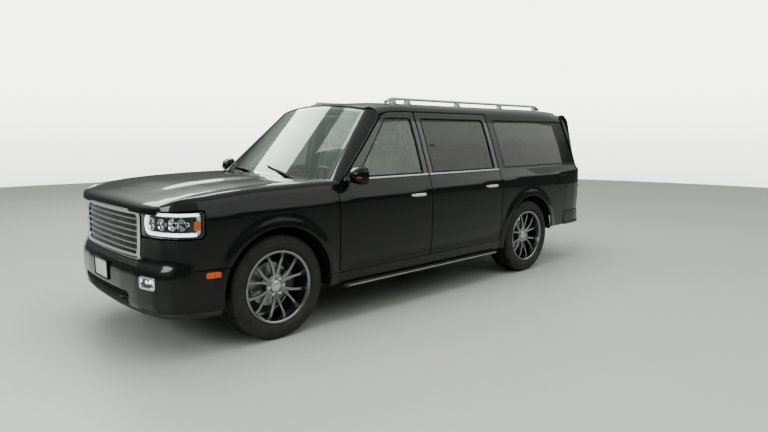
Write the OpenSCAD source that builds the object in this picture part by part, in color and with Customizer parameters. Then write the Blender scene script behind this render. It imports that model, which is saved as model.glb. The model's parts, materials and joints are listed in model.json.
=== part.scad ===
// Extended three-row SUV on a ladder frame. Millimetres.
// +X points ahead, +Y to the vehicle's left, +Z up; the origin is on the ground
// under the middle of the length.

/* [Body] */
// Length over both bumpers
body_length = 5720; // [5000:10:6900]
// Width over the doors, mirrors not counted
body_width = 2060; // [1900:10:2480]
// Height to the top of the roof rails
overall_height = 1940; // [1800:5:2330]
// Distance between the axles
wheelbase = 3370; // [3000:10:4050]
// From the front axle to the front of the bumper
front_overhang = 980; // [930:5:1180]
// Height of the window sill line
belt_height = 1205; // [1150:5:1300]
// Height of the lower edge of the doors' sill panel
sill_height = 330; // [280:5:390]

/* [Wheels] */
// Outer diameter of the tyres
tyre_diameter = 830; // [700:5:880]
// Width of the tyres
tyre_width = 285; // [240:5:310]
// Seat diameter of the rims
rim_diameter = 559; // [480:1:610]
// Distance between the tyre centres across the vehicle
track = 1720; // [1640:5:1760]
// Free height between tyre and wheel arch
arch_gap = 60; // [55:1:90]
// Spokes in a rim
spoke_count = 6; // [5:1:8]

/* [Doors and lids] */
// Gap round doors, hood and liftgate
panel_gap = 8; // [6:1:10]
// Depth of a door below the window
door_depth = 130; // [110:5:150]
// Depth of the window frames
frame_depth = 32; // [26:1:40]
// Thickness of hood, fenders and roof with their inner ribs
shell = 45; // [30:1:60]
// Thickness of the glass
glass = 6; // [4:1:8]

/* [Chassis] */
// Height of the frame rails
rail_height = 130; // [100:5:150]
// Width of the frame rails
rail_width = 80; // [60:5:90]
// Inside width of the trailer hitch receiver
receiver_size = 50.8; // [50.8:0.1:63.5]
// Diameter of the receiver's pin bore
receiver_pin = 16.2; // [15.9:0.1:16.8]

/* [Hidden] */
$fn = 96;

// ends, axles and shut lines along X
hw = body_width / 2;
x_nose = body_length / 2;
x_tail = -x_nose;
x_front = x_nose - front_overhang;
x_rear = x_front - wheelbase;
x_face = x_nose - 60;
x_back = x_tail + 60;
x_door = x_front - 580;
x_c = x_rear + 550;
x_b = (x_door + x_c) / 2;
x_cowl = x_door + 262;
x_step = x_c + 130;
wall_x = x_door + 60;
x_hood = x_cowl + 38;
hinge_back = 40;
gap = panel_gap;
tyre_r = tyre_diameter / 2;
arch_r = tyre_r + arch_gap;

// heights
belt = belt_height;
roof_z = overall_height - 40;
roof_edge = roof_z - 95;
floor_z = 530;
load_floor = 690;
frame_top = floor_z - 60;
kick = load_floor - floor_z;
axle_z = tyre_r;
door_low = sill_height + 108;
deck = belt + 40;

// sides across Y
skin = 60;
y_skin = hw - skin;
y_door_in = hw - door_depth;
y_ring = y_door_in - gap;
y_cabin = y_ring - 82;
y_hood = hw - 200;
roof_half = hw - 390;
screen_rake = 48;
screen_slope = tan(screen_rake);

// smooth curve through listed [place, value] pairs
function seg(p, v, i = 0) = (i >= len(p) - 2 || v < p[i + 1][0]) ? i : seg(p, v, i + 1);
function slope(p, i) = let (a = max(i - 1, 0), b = min(i + 1, len(p) - 1))
  (p[b][1] - p[a][1]) / (p[b][0] - p[a][0]);
function curve(p, v) = let (i = seg(p, v), h = p[i + 1][0] - p[i][0],
  t = min(max((v - p[i][0]) / h, 0), 1), u = 1 - t)
  p[i][1] * (1 + 2 * t) * u * u + slope(p, i) * h * t * u * u
  + p[i + 1][1] * t * t * (3 - 2 * t) - slope(p, i + 1) * h * t * t * u;

// inset of the side from the full half width, from sill (0) to belt (1)
side_inset = [[0, 45], [0.14, 20], [0.42, 4], [0.65, 0], [0.8, 4], [0.93, 22], [1, 50]];
// inset of the glasshouse, from belt (0) to roof edge (1)
house_inset = [[0, 55], [0.5, 158], [1, 285]];
function house_y(z) = hw - curve(house_inset, (z - belt) / (roof_edge - belt));
function twin(h) = concat(h, [for (i = [len(h) - 1:-1:0]) [-h[i][0], h[i][1]]]);

// front-view outline of the lower body, d inside the skin
function body_section(d) = twin(concat([[hw - 46 - d, sill_height - 120]],
  [for (i = [0:14]) [hw - curve(side_inset, i / 14) - d, sill_height + (belt - sill_height) * i / 14
    - d * max(0, i - 12) / 2]],
  [[hw - 90 - d, belt + 6 - d], [hw - 200, belt + 12 - d], [hw - 430, belt + 25 - d],
   [hw - 730, belt + 36 - d], [60, deck - d]]));
// side-view outline of the lower body
function body_side(d) = [[x_back + d, sill_height - 150], [x_face - d, sill_height - 150],
  [x_face - d, belt - 200 - d], [x_face - 10 - d, belt - 130 - d], [x_face - 60 - d, belt - 90 - d],
  [x_face - 150, belt - 50 - d], [x_face - 350, belt - 8 - d], [x_face - 700, belt + 25 - d],
  [x_hood, deck - d], [x_back + d, deck - d]];
// plan outline of the lower body
function body_plan(d) = let (sx = (x_face - d) / x_face, sy = (hw - d) / hw,
  h = [[x_back, 500], [x_back + 15, 750], [x_back + 60, hw - 130], [x_back + 150, hw - 55],
    [x_back + 300, hw - 20], [x_back + 500, hw - 5], [x_back + 800, hw], [x_face - 700, hw],
    [x_face - 450, hw - 8], [x_face - 300, hw - 30], [x_face - 180, hw - 70],
    [x_face - 100, hw - 130], [x_face - 50, hw - 230], [x_face - 20, hw - 430], [x_face - 5, 300]])
  concat([for (p = h) [p[0] * sx, p[1] * sy]],
    [for (i = [len(h) - 1:-1:0]) [h[i][0] * sx, -h[i][1] * sy]]);

function house_section(d) = twin(concat([for (i = [0:8]) let (z = belt + (roof_edge - belt) * i / 8)
    [house_y(z) - d, z]],
  [[hw - 315 - d, roof_z - 50 - d / 2], [hw - 360 - d / 2, roof_z - 28 - d],
   [hw - 700, roof_z - 8 - d], [80, roof_z - d]]));
function house_side(d) = [[x_cowl - 58 - 1.5 * d, belt - 10], [x_door - 545 - 1.5 * d, roof_z - 32],
  [x_door - 620 - 1.5 * d, roof_z - 14 - d], [x_door - 1000, roof_z - d],
  [x_rear, roof_z - 2 - d], [x_back + 500, roof_z - 14 - d], [x_back + 150, roof_z - 42 - d],
  [x_back + 100 + d, roof_z - 62 - d], [x_back + 10 + d, belt - 10]];
function house_plan(d) = let (h = [[x_back + 10 + d, 500], [x_back + 25 + d, 700],
    [x_back + 70 + d, hw - 190 - d], [x_back + 150, hw - 95 - d], [x_back + 300, hw - 60 - d],
    [x_back + 600, hw - 50 - d], [x_nose, hw - 50 - d]])
  concat(h, [for (i = [len(h) - 1:-1:0]) [h[i][0], -h[i][1]]]);

// solids pulled along one axis from a drawing
module along_x(x0, x1) translate([x0, 0, 0]) rotate([90, 0, 90]) linear_extrude(x1 - x0) children();
module along_y(y0, y1) translate([0, y1, 0]) rotate([90, 0, 0]) linear_extrude(y1 - y0) children();
module box(a, b) translate(a) cube(b - a);
module both() { children(); mirror([0, 1, 0]) children(); }
module disc(c, r, y0, y1) translate([c[0], y0, c[1]]) rotate([-90, 0, 0]) cylinder(r = r, h = y1 - y0);

module body(d) intersection() {
  along_x(x_tail, x_nose) polygon(body_section(d));
  along_y(-hw, hw) polygon(body_side(d));
  translate([0, 0, sill_height - 150]) linear_extrude(deck) polygon(body_plan(d));
}
module house(d) intersection() {
  along_x(x_tail, x_nose) polygon(house_section(d));
  along_y(-hw, hw) polygon(house_side(d));
  translate([0, 0, belt]) linear_extrude(roof_z) polygon(house_plan(d));
}

// ---- doors ----
function a_line(z) = x_door - 72 - (z - belt) * screen_slope;
// side-view outlines, low corner first, going round against the clock
function front_door_low() = [[x_b + gap / 2, door_low], [x_door, door_low], [x_door, belt - 85],
  [x_door - 18, belt - 42], [a_line(belt), belt], [x_b + gap / 2, belt]];
frame_top_z = roof_edge - 8;
function front_door_high() = [[x_b + 8, belt], [a_line(belt), belt],
  [a_line(frame_top_z - 30), frame_top_z - 30], [a_line(frame_top_z - 30) - 60, frame_top_z],
  [x_b + 8, frame_top_z]];
function front_window() = [[x_b + 70, belt + 26], [a_line(belt + 26) - 130, belt + 26],
  [a_line(frame_top_z - 60) - 62, frame_top_z - 60], [x_b + 70, frame_top_z - 60]];
function rear_door_low() = [[x_c + gap / 2, door_low], [x_b - gap / 2, door_low],
  [x_b - gap / 2, belt], [x_c + gap / 2, belt]];
function rear_door_high() = [[x_c + 8, belt], [x_b - 8, belt], [x_b - 8, frame_top_z],
  [x_c + 8, frame_top_z]];
function rear_window() = [[x_c + 75, belt + 26], [x_b - 70, belt + 26],
  [x_b - 70, frame_top_z - 60], [x_c + 75, frame_top_z - 60]];

module door(low, high, window, x0, x1) {
  difference() {
    union() {
      intersection() {
        body(0);
        along_y(y_skin, hw) polygon(low);
      }
      intersection() {
        box([x0 + 20, y_door_in, door_low + 20], [x1 - hinge_back, y_skin + 1, belt - 12]);
        along_y(0, hw) polygon(low);
      }
      intersection() {
        difference() { house(0); house(frame_depth); }
        along_y(0, hw) polygon(high);
      }
      // the inner wall carries the window frame at the belt
      box([x0 + 20, hw - 86, belt - 30], [x1 - 100, hw - 58, belt]);
    }
    along_y(0, hw + 1) polygon(window);
  }
}
module door_window(window) intersection() {
  difference() { house(10); house(10 + glass); }
  along_y(0, hw) polygon(window);
}
module mirror_head() intersection() {
  along_x(x_door - 175, x_door - 70) polygon([[hw - 20, belt - 20], [hw + 30, belt - 40],
    [hw + 140, belt - 35], [hw + 165, belt], [hw + 165, belt + 90], [hw + 140, belt + 125],
    [hw + 30, belt + 120], [hw - 10, belt + 85]]);
  translate([0, 0, belt - 60]) linear_extrude(220) polygon([[x_door - 170, hw - 30],
    [x_door - 90, hw - 30], [x_door - 75, hw + 30], [x_door - 85, hw + 120],
    [x_door - 125, hw + 165], [x_door - 170, hw + 170]]);
}
module mirror_arm() box([x_door - 140, hw - 75, belt + 2], [x_door - 105, hw - 15, belt + 34]);

module front_left_door() color("DimGray") {
  door(front_door_low(), front_door_high(), front_window(), x_b + gap / 2, x_door);
  difference() {
    union() { mirror_head(); mirror_arm(); }
    house(0);
  }
}
module front_right_door() mirror([0, 1, 0]) front_left_door();
module rear_left_door() color("DimGray")
  door(rear_door_low(), rear_door_high(), rear_window(), x_c + gap / 2, x_b - gap / 2);
module rear_right_door() mirror([0, 1, 0]) rear_left_door();
module front_left_glass() color("LightCyan") door_window(front_window());
module front_right_glass() mirror([0, 1, 0]) front_left_glass();
module rear_left_glass() color("LightCyan") door_window(rear_window());
module rear_right_glass() mirror([0, 1, 0]) rear_left_glass();

// ---- ladder frame ----
rail_in = 370;
rail_out = rail_in + rail_width;
front_rail = 420;
mid_rail = frame_top - rail_height;
rear_rail = mid_rail + kick;
module rail() along_y(rail_in, rail_out) polygon(concat(
  [[x_face - 160, front_rail], [x_door + 190, front_rail], [x_door + 60, mid_rail],
   [x_c + 90, mid_rail], [x_c - 110, rear_rail], [x_back + 100, rear_rail]],
  [[x_back + 100, rear_rail + rail_height], [x_c - 130, rear_rail + rail_height],
   [x_c + 70, mid_rail + rail_height], [x_door + 85, mid_rail + rail_height],
   [x_door + 215, front_rail + rail_height], [x_face - 160, front_rail + rail_height]]));
module puck(x, y, z) translate([x, y, z]) cylinder(r = 30, h = 20);
receiver_wall = 6.4;
receiver_out = receiver_size + 2 * receiver_wall;
receiver_z = rear_rail - receiver_out / 2 - 20;
shaft_z = 390;
shaft_r = 40;
module ladder() {
  difference() {
    union() {
      both() rail();
      for (x = [x_door - 1000, x_c + 160]) box([x - 40, -rail_in, mid_rail + 10],
        [x + 40, rail_in, frame_top - 10]);
      box([x_face - 300, -rail_in, front_rail], [x_face - 160, rail_in, front_rail + rail_height]);
      for (x = [x_rear - 420, x_back + 140]) box([x - 40, -rail_in, rear_rail],
        [x + 40, rail_in, rear_rail + rail_height - 20]);
      // hitch receiver hanging from the rear cross member
      box([x_back + 20, -receiver_out / 2, receiver_z - receiver_out / 2],
        [x_back + 420, receiver_out / 2, receiver_z + receiver_out / 2]);
      box([x_back + 110, -50, receiver_z], [x_back + 170, 50, rear_rail + 5]);
    }
    translate([x_c - 200, 0, shaft_z]) rotate([0, 90, 0]) cylinder(r = shaft_r + 22, h = 2400);
    box([x_back, -receiver_size / 2, receiver_z - receiver_size / 2],
      [x_back + 500, receiver_size / 2, receiver_z + receiver_size / 2]);
    disc([x_back + 80, receiver_z], receiver_pin / 2, -100, 100);
  }
  for (x = [x_door - 130, x_b, x_c + 190], y = [-1, 1]) puck(x, y * (rail_in + 40), frame_top);
  for (x = [x_c - 260, x_back + 260], y = [-1, 1])
    puck(x, y * (rail_in + 40), frame_top + kick);
}

// the ladder is welded up from three lengths, parted just inside its kicks
front_joint = x_door + 70;
rear_joint = x_c + 100;
module length_of_frame(x0, x1) color("SlateGray") intersection() {
  ladder();
  box([x0, -rail_out - 1, 0], [x1, rail_out + 1, belt]);
}
module front_frame() length_of_frame(front_joint, x_nose);
module mid_frame() length_of_frame(rear_joint, front_joint);
module rear_frame() length_of_frame(x_tail, rear_joint);

// ---- floor ----
tub = 18;
module rear_arch(r, y0, y1) disc([x_rear, axle_z], r, y0, y1);
module front_arch(r, y0, y1) disc([x_front, axle_z], r, y0, y1);
house_in = track / 2 - tyre_width / 2 - 37;
module floor_pan() color("DimGray") {
  difference() {
    union() {
      box([x_step, -y_cabin, floor_z - 40], [wall_x, y_cabin, floor_z]);
      box([x_step - 40, -y_cabin, floor_z - 40], [x_step, y_cabin, load_floor]);
      box([x_back + 130, -y_cabin, load_floor - 40], [x_step - 40, y_cabin, load_floor]);
      both() intersection() {
        rear_arch(arch_r + tub, house_in, y_skin);
        box([x_rear - 600, 0, load_floor - 40], [x_rear + 600, hw, belt]);
      }
    }
    both() rear_arch(arch_r, house_in + tub, hw);
  }
}

// ---- firewall, cowl, aprons and radiator support ----
apron_top = belt - 195;
module firewall() color("DimGray") {
  box([wall_x, -y_cabin, floor_z - 40], [wall_x + 20, y_cabin, belt - 60]);
  difference() {
    translate([0, 0, belt - 60]) linear_extrude(60) polygon([[x_door - 10, -y_cabin],
      [x_door - 10, y_cabin], [x_cowl - 60, y_cabin], [x_cowl, 500], [x_cowl, -500],
      [x_cowl - 60, -y_cabin]]);
    translate([0, 0, belt - 45]) linear_extrude(60) polygon([[x_door + 40, -y_cabin + 20],
      [x_door + 40, y_cabin - 20], [x_door + 90, y_cabin - 20], [x_cowl - 110, 500],
      [x_cowl - 110, -500], [x_door + 90, -y_cabin + 20]]);
  }
  both() {
    difference() {
      box([wall_x + 10, rail_out - 18, front_rail + rail_height], [x_face - 240, rail_out, apron_top]);
      box([x_front - 110, 0, 0], [x_front + 110, hw, 640]);
    }
    intersection() {
      body(shell);
      box([x_door + 110, rail_out - 18, apron_top], [x_face - 260, hw, apron_top + 20]);
    }
  }
  box([x_face - 300, -rail_out, apron_top - 40], [x_face - 240, rail_out, apron_top]);
}

// ---- body sides with quarter panels ----
gate_half = hw - 218;
// rear-view outline of the liftgate, grown by d
gate_low = 650;
gate_skin = 12;
gate_depth = 60;
gate_step = 24;
gate_gap = gap + 2;
function gate_top(d) = roof_half - 5 + d;
function gate_outline(d) = twin([[gate_half + d, gate_low - d], [gate_half + d, belt],
  [gate_half - 30 + d, belt + 60], [gate_top(d), roof_edge - 60], [gate_top(d), roof_z + 20]]);
gate_axis_x = x_back + 280;
gate_axis_z = roof_z - 30;
gate_edge = gate_axis_x - 30;
lamp_low = belt - 400;
lamp_high = belt - 25;
lamp_in = hw - 210;
module tail_zone(d) box([x_tail, lamp_in - d, lamp_low - d], [x_back + 190 + d, hw, lamp_high + d]);
function quarter_window() = [[x_c - 95, belt + 26], [x_c - 95, frame_top_z - 60],
  [x_back + 230, frame_top_z - 60], [x_back + 150, belt + 26]];
bumper_top = 640;
module left_side() difference() {
  union() {
    // sill
    intersection() {
      body(0);
      box([x_rear + arch_r - 30, y_cabin, sill_height], [x_door + 95, hw, door_low - gap]);
    }
    // pillars inside the doors
    for (x = [[x_door - 70, x_door + 95], [x_b - 80, x_b + 80], [x_c - 68, x_c + 70]])
      box([x[0], y_cabin, door_low - gap - 10], [x[1], y_ring, x[0] > x_b + 100 ? belt - 80 : belt + 20]);
    for (x = [[x_b - 60, x_b + 60], [x_c - 68, x_c + 60]]) intersection() {
      difference() { house(frame_depth + 10); house(frame_depth + 62); }
      box([x[0], 0, belt], [x[1], hw, roof_edge + 10]);
    }
    // windscreen pillar and its foot
    intersection() {
      body(0);
      along_y(y_cabin, y_skin) polygon([[x_door + gap, belt - 100], [x_door + 95, belt - 100],
        [x_door + 95, belt], [a_line(belt) + 12, belt], [x_door - 8, belt - 40],
        [x_door + gap, belt - 83]]);
    }
    intersection() {
      difference() { house(0); house(75); }
      along_y(0, hw) polygon([[a_line(belt) + 12, belt], [a_line(belt) + 130, belt],
        [a_line(roof_edge + 40) + 130, roof_edge + 40], [a_line(roof_edge + 40), roof_edge + 40],
        [a_line(frame_top_z - 30) - 48, frame_top_z + 8],
        [a_line(frame_top_z - 30) + 12, frame_top_z - 22]]);
      box([x_tail, roof_half, belt], [x_nose, hw, roof_z]);
    }
    // roof side rail
    intersection() {
      difference() { house(0); house(72); }
      box([x_back + 90, roof_half, roof_edge], [a_line(roof_edge) + 40, hw, roof_z]);
    }
    intersection() {
      difference() { house(frame_depth + 10); house(frame_depth + 62); }
      along_y(0, hw) polygon([[x_back + 200, frame_top_z - 60], [a_line(frame_top_z - 60) - 80,
        frame_top_z - 60], [a_line(roof_edge) - 60, roof_edge + 10], [x_back + 200, roof_edge + 10]]);
      box([x_tail, roof_half, belt], [x_nose, hw, roof_z]);
    }
    // upper quarter
    intersection() {
      difference() { house(0); house(52); }
      along_y(0, hw) polygon([[x_c - 8, belt], [x_c - 8, roof_edge + 5],
        [x_back, roof_edge + 5], [x_back, belt]]);
      box([x_tail, roof_half, belt], [x_c, hw, roof_z]);
    }
    // lower quarter
    intersection() {
      body(0);
      difference() {
        box([x_back, 0, sill_height], [x_c - gap / 2, hw, belt]);
        box([x_back + 500, -hw, 0], [x_nose, y_skin, belt + 10]);
        intersection() {
          body(60);
          box([x_tail, -hw, 0], [x_back + 501, hw, belt + 10]);
        }
      }
      box([x_tail, gate_half + gap, 0], [x_c, hw, belt]);
    }
    // return from the outer skin to the rear door pillar
    box([x_c - 68, y_cabin, door_low - gap - 10], [x_c - gap / 2, y_skin + 5, belt]);
    // belt shelf joining the lower and upper quarter
    intersection() {
      body(0);
      box([x_back, gate_half + gap, belt - 18], [x_c - gap / 2, hw, belt]);
    }
    intersection() {
      house(0);
      box([x_back, gate_half + gap, belt], [x_c - 8, hw, belt + 12]);
    }
  }
  along_x(x_tail - 1, gate_edge + gap) polygon(gate_outline(gate_gap));
  rear_arch(arch_r, house_in, hw + 1);
  rear_arch(arch_r + tub, 0, y_skin);
  front_arch(arch_r, 0, hw + 1);
  along_y(0, hw) polygon(quarter_window());
  tail_zone(0);
  box([x_tail, 0, 0], [x_back + 560, hw + 1, bumper_top]);
  box([x_tail, 0, 0], [x_rear, hw + 1, tail_low]);
  box([x_back, 0, load_floor - 40], [x_c - 60, y_cabin, load_floor]);
}
module body_sides() color("DimGray") both() left_side();
module quarter_glass() color("LightCyan") both() door_window(quarter_window());

// ---- windscreen and roof ----
screen_r = 3200;
screen_x = x_cowl - 82;
screen_len = (roof_z - 32 - belt) / cos(screen_rake);
module on_screen() translate([screen_x, 0, belt]) rotate([0, -screen_rake, 0]) children();
module windscreen() color("LightCyan") difference() {
  on_screen() intersection() {
    translate([0, 0, -200]) linear_extrude(screen_len + 200) difference() {
      translate([-screen_r, 0]) circle(r = screen_r, $fn = 720);
      translate([-screen_r, 0]) circle(r = screen_r - glass, $fn = 720);
      translate([-9000, -9000]) square([9000 - 300, 18000]);
    }
    translate([-400, 0, 0]) rotate([90, 0, 90]) linear_extrude(500) polygon(twin([
      [hw - 72 - 60, -260], [hw - 137 - 5, 120], [roof_half + 22, screen_len]]));
  }
  box([x_b, -hw, 0], [x_nose, hw, belt]);
}
module roof() color("DimGray") difference() {
  intersection() {
    difference() { house(0); house(shell); }
    box([gate_edge + gap, -roof_half, roof_edge - 30], [x_nose, roof_half, roof_z + 10]);
  }
  on_screen() box([-400, -hw, -400], [300, hw, screen_len]);
}
rack_y = roof_half - 45;
module roof_rails() color("Silver") both() difference() {
  union() {
    box([x_c - 1300, rack_y - 18, overall_height - 32], [x_door - 900, rack_y + 18, overall_height]);
    for (x = [x_c - 1300, x_c - 500, x_b - 40, x_door - 1000])
      box([x, rack_y - 18, roof_z - 60], [x + 100, rack_y + 18, overall_height - 10]);
  }
  house(0);
}

// ---- nose ----
lamp_x = x_face - 240;
head_low = belt - 339;
head_high = belt - 145;
head_in = 600;
module front_fenders() color("DimGray") both() difference() {
  union() {
    intersection() {
      difference() { body(0); body(shell); }
      box([x_door + 100, y_hood + gap / 2, sill_height], [x_face + 1, hw, deck]);
    }
    intersection() {
      body(0);
      box([x_door + gap, y_skin, sill_height], [x_door + 101, hw, belt]);
    }
    box([x_door + 30, y_ring, 500], [x_door + 95, y_skin + 5, belt - 110]);
  }
  front_arch(arch_r, 0, hw + 1);
  box([x_door, 0, 0], [x_door + 95, hw + 1, door_low - gap]);
  box([x_front, 0, 0], [x_nose, hw + 1, bumper_top]);
  box([lamp_x, 0, 0], [x_nose, hw + 1, head_high + 2]);
}
function bumper_side(d) = [[x_front, 300], [x_nose - 60 - d, 300], [x_nose - d, 390],
  [x_nose - d, 600], [x_nose - 40 - d, 660], [x_face + 5 - d, 700], [x_face - d, head_low],
  [x_front, head_low]];
function bumper_plan(d) = let (h = [[x_front, hw - 12 - d], [x_front + 480, hw - 14 - d],
  [x_face - 220 - d, hw - 45 - d], [x_face - 110 - d, hw - 110 - d], [x_face - 35 - d, hw - 230 - d],
  [x_face + 20 - d, hw - 450 - d], [x_nose - 10 - d, hw - 700], [x_nose - d, 250]])
  concat(h, [for (i = [len(h) - 1:-1:0]) [h[i][0], -h[i][1]]]);
module bumper_body(d) intersection() {
  along_y(-hw, hw) polygon(bumper_side(d));
  translate([0, 0, 200]) linear_extrude(800) polygon(bumper_plan(d));
}
fog_low = 520;
module fog_zone() {
  both() box([x_face - 250, 650, fog_low], [x_nose, 800, fog_low + 70]);
  both() box([x_front + 500, hw - 100, fog_low + 70], [x_front + 600, hw, fog_low + 100]);
}
module front_bumper() color("DimGray") difference() {
  bumper_body(0);
  difference() {
    bumper_body(55);
    box([x_face - 160, rail_in, front_rail], [x_nose - 30, rail_out, front_rail + rail_height]);
    box([x_face - 160, -rail_out, front_rail], [x_nose - 30, -rail_in, front_rail + rail_height]);
  }
  both() front_arch(arch_r, 0, hw + 1);
  both() box([x_front, 0, bumper_top], [lamp_x, hw + 1, belt]);
  box([x_front, -head_in + 4, bumper_top + 50], [x_nose + 1, head_in - 4, belt]);
  fog_zone();
  // intake
  box([x_face - 200, -480, 330], [x_nose + 1, 480, 460]);
}
module fog_lamps() color("White") intersection() {
  difference() { bumper_body(6); bumper_body(50); }
  fog_zone();
}
module headlamps() color("White") both() intersection() {
  difference() { body(3); body(110); }
  box([lamp_x, head_in, head_low], [x_nose, hw, head_high]);
}
module grille() color("Gray") intersection() {
  difference() { body(0); body(50); }
  difference() {
    box([x_face - 200, -head_in + 8, bumper_top + 50], [x_nose, head_in - 8, head_high - 6]);
    for (i = [0:3]) box([x_face - 250, -head_in + 50, bumper_top + 85 + i * 78],
      [x_nose, head_in - 50, bumper_top + 85 + i * 78 + 48]);
  }
}
module hood() color("DimGray") intersection() {
  difference() { body(0); body(shell); }
  box([x_hood, -y_hood + gap / 2, belt - 136], [x_nose, y_hood - gap / 2, deck]);
}

// ---- tail ----
tail_low = receiver_z + receiver_pin / 2 + 14;
function tail_side(d) = [[x_back + 700, tail_low], [x_tail + 30 + d, tail_low], [x_tail + d, tail_low + 30],
  [x_tail + d, 590], [x_tail + 30 + d, bumper_top], [x_back + 700, bumper_top]];
function tail_plan(d) = let (h = [[x_back + 700, hw - 12 - d], [x_back + 300, hw - 14 - d],
  [x_back + 140 + d, hw - 60 - d], [x_back + 40 + d, hw - 170 - d], [x_tail + 22 + d, hw - 400 - d],
  [x_tail + d, 350]])
  concat(h, [for (i = [len(h) - 1:-1:0]) [h[i][0], -h[i][1]]]);
module tail_body(d) intersection() {
  along_y(-hw, hw) polygon(tail_side(d));
  translate([0, 0, 200]) linear_extrude(800) polygon(tail_plan(d));
}
module rear_bumper() color("DimGray") difference() {
  tail_body(0);
  difference() {
    tail_body(55);
    both() box([x_tail, rail_in, rear_rail], [x_back + 100, rail_out, bumper_top]);
  }
  box([x_back + 560, -hw, 0], [x_nose, hw, belt]);
  box([x_tail - 1, -60, 200], [x_back + 200, 60, receiver_z + 60]);
}
module taillamps() color("FireBrick") both() intersection() {
  difference() { body(2); body(58); }
  tail_zone(0);
}
module liftgate() color("DimGray") difference() {
  union() {
    // the edges are stepped, so that the gate swings out past the pillars
    for (d = [[0, gate_skin, 0], [gate_skin, gate_depth, -gate_step]]) {
      intersection() {
        difference() { body(d[0]); body(d[1]); }
        box([x_tail, -hw, 0], [x_back + 200, hw, belt]);
        along_x(x_tail, gate_edge) polygon(gate_outline(d[2]));
      }
      intersection() {
        difference() { house(d[0]); house(min(d[1], gate_depth - 10)); }
        along_x(x_tail, gate_edge) polygon(gate_outline(d[2]));
      }
    }
    intersection() {
      house(0);
      box([x_tail, -gate_half, belt - 2], [x_back + gate_depth, gate_half, belt + 30]);
      along_x(x_tail, gate_edge) polygon(gate_outline(-gate_step));
    }
  }
  along_x(x_tail, gate_edge - 160) polygon(gate_window());
  both() tail_zone(gap);
}
function gate_window() = twin([[gate_half - 110, belt + 50], [roof_half - 60, roof_edge - 75]]);
module liftgate_glass() color("LightCyan") intersection() {
  difference() { house(8); house(8 + glass); }
  along_x(x_tail, gate_edge - 160) polygon(gate_window());
}
plate = [12, 305, 152];
plate_pitch = 177.8;
module plate_bracket(x, z) difference() {
  box([x, -plate[1] / 2, z - plate[2] / 2], [x + plate[0], plate[1] / 2, z + plate[2] / 2]);
  for (y = [-1, 1]) translate([x - 1, y * plate_pitch / 2, z + 58]) rotate([0, 90, 0])
    cylinder(r = 3.5, h = plate[0] + 2);
}
module plate_brackets() color("LightGray") {
  plate_bracket(x_nose, 560);
  plate_bracket(x_tail - plate[0], 500);
}
module running_boards() color("Gray") both()
  box([x_c + 60, hw - 150, sill_height - 40], [x_door - 60, hw - 4, sill_height]);

// ---- cabin ----
driver_y = 400;
module dash_shape() along_y(-y_cabin + 4, y_cabin - 4) polygon([[wall_x, 760], [wall_x, belt - 60],
  [x_door - 18, belt - 60], [x_door - 18, belt - 22], [wall_x - 200, belt - 30], [wall_x - 300, belt - 70],
  [wall_x - 330, belt - 160], [wall_x - 260, belt - 300], [wall_x - 160, 760]]);
module dashboard() color("DimGray") {
  dash_shape();
  difference() {
    along_y(-130, 130) polygon([[x_b + 60, floor_z], [x_b + 60, floor_z + 330],
      [x_b + 420, floor_z + 340], [x_b + 760, floor_z + 300], [wall_x - 262, belt - 280],
      [wall_x - 158, 762], [wall_x - 158, floor_z]]);
    dash_shape();
  }
}
module steering_wheel() color("DimGray") difference() {
  translate([wall_x - 440, driver_y, belt - 90]) rotate([0, -65, 0]) {
    rotate_extrude() translate([180, 0]) circle(r = 15);
    translate([0, 0, -240]) cylinder(r = 26, h = 250);
    for (a = [0, 130, 230]) rotate([0, 0, a]) translate([0, -16, -8]) cube([180, 32, 14]);
    cylinder(r = 52, h = 18);
  }
  dash_shape();
}
// a seat with cushion, leaning back and head restraint; x is the back of the cushion
module seat(x, w, base, top) {
  along_y(-w / 2 + 40, w / 2 - 40) polygon([[x + 30, base], [x + 450, base], [x + 470, top - 130],
    [x + 10, top - 130]]);
  along_y(-w / 2, w / 2) polygon([[x - 10, top - 130], [x + 480, top - 130], [x + 500, top - 60],
    [x + 490, top + 10], [x + 460, top + 22], [x + 120, top - 8], [x + 40, top - 10],
    [x - 60, top + 180], [x - 190, top + 560], [x - 215, top + 575], [x - 270, top + 560],
    [x - 275, top + 520], [x - 150, top + 100]]);
  for (y = w > 700 ? [-w / 3, w / 3] : [0]) {
    along_y(y - 120, y + 120) polygon([[x - 190, top + 590], [x - 175, top + 640],
      [x - 215, top + 750], [x - 265, top + 755], [x - 290, top + 735], [x - 280, top + 590]]);
    for (p = [-60, 60]) translate([x - 235, y + p, top + 540]) cylinder(r = 6, h = 60);
  }
}
module front_seats() color("DimGray") both() translate([0, driver_y, 0])
  seat(x_b + 190, 520, floor_z, floor_z + 320);
module rear_seats() color("DimGray") {
  both() translate([0, driver_y, 0]) seat(x_b - 790, 540, floor_z, floor_z + 330);
  seat(x_rear - 260, 1240, load_floor, load_floor + 260);
}

// ---- drivetrain ----
module engine() color("Gray") {
  box([x_front - 330, -280, front_rail + 40], [x_front + 380, 280, belt - 205]);
  both() box([x_front - 40, 280, front_rail + 50], [x_front + 60, rail_in, front_rail + 110]);
  box([x_door - 560, -140, 300], [x_front - 300, 140, floor_z - 50]);
  translate([x_rear + 130, 0, shaft_z]) rotate([0, 90, 0])
    cylinder(r = shaft_r, h = x_door - 560 - x_rear - 130 + 5);
}
module radiator() color("Silver")
  box([x_face - 290, -rail_in, front_rail + rail_height], [x_face - 245, rail_in, apron_top - 40]);
module fuel_tank() color("DimGray")
  box([x_c + 210, 100, 285], [x_b + 30, rail_in, frame_top - 10]);
module tube(a, b, r, sides = 96) {
  d = b - a;
  translate(a) rotate([0, acos(d[2] / norm(d)), atan2(d[1], d[0])])
    cylinder(r = r, h = norm(d), $fn = sides);
}
pipe_y = -620;
pipe_z = 285;
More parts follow.
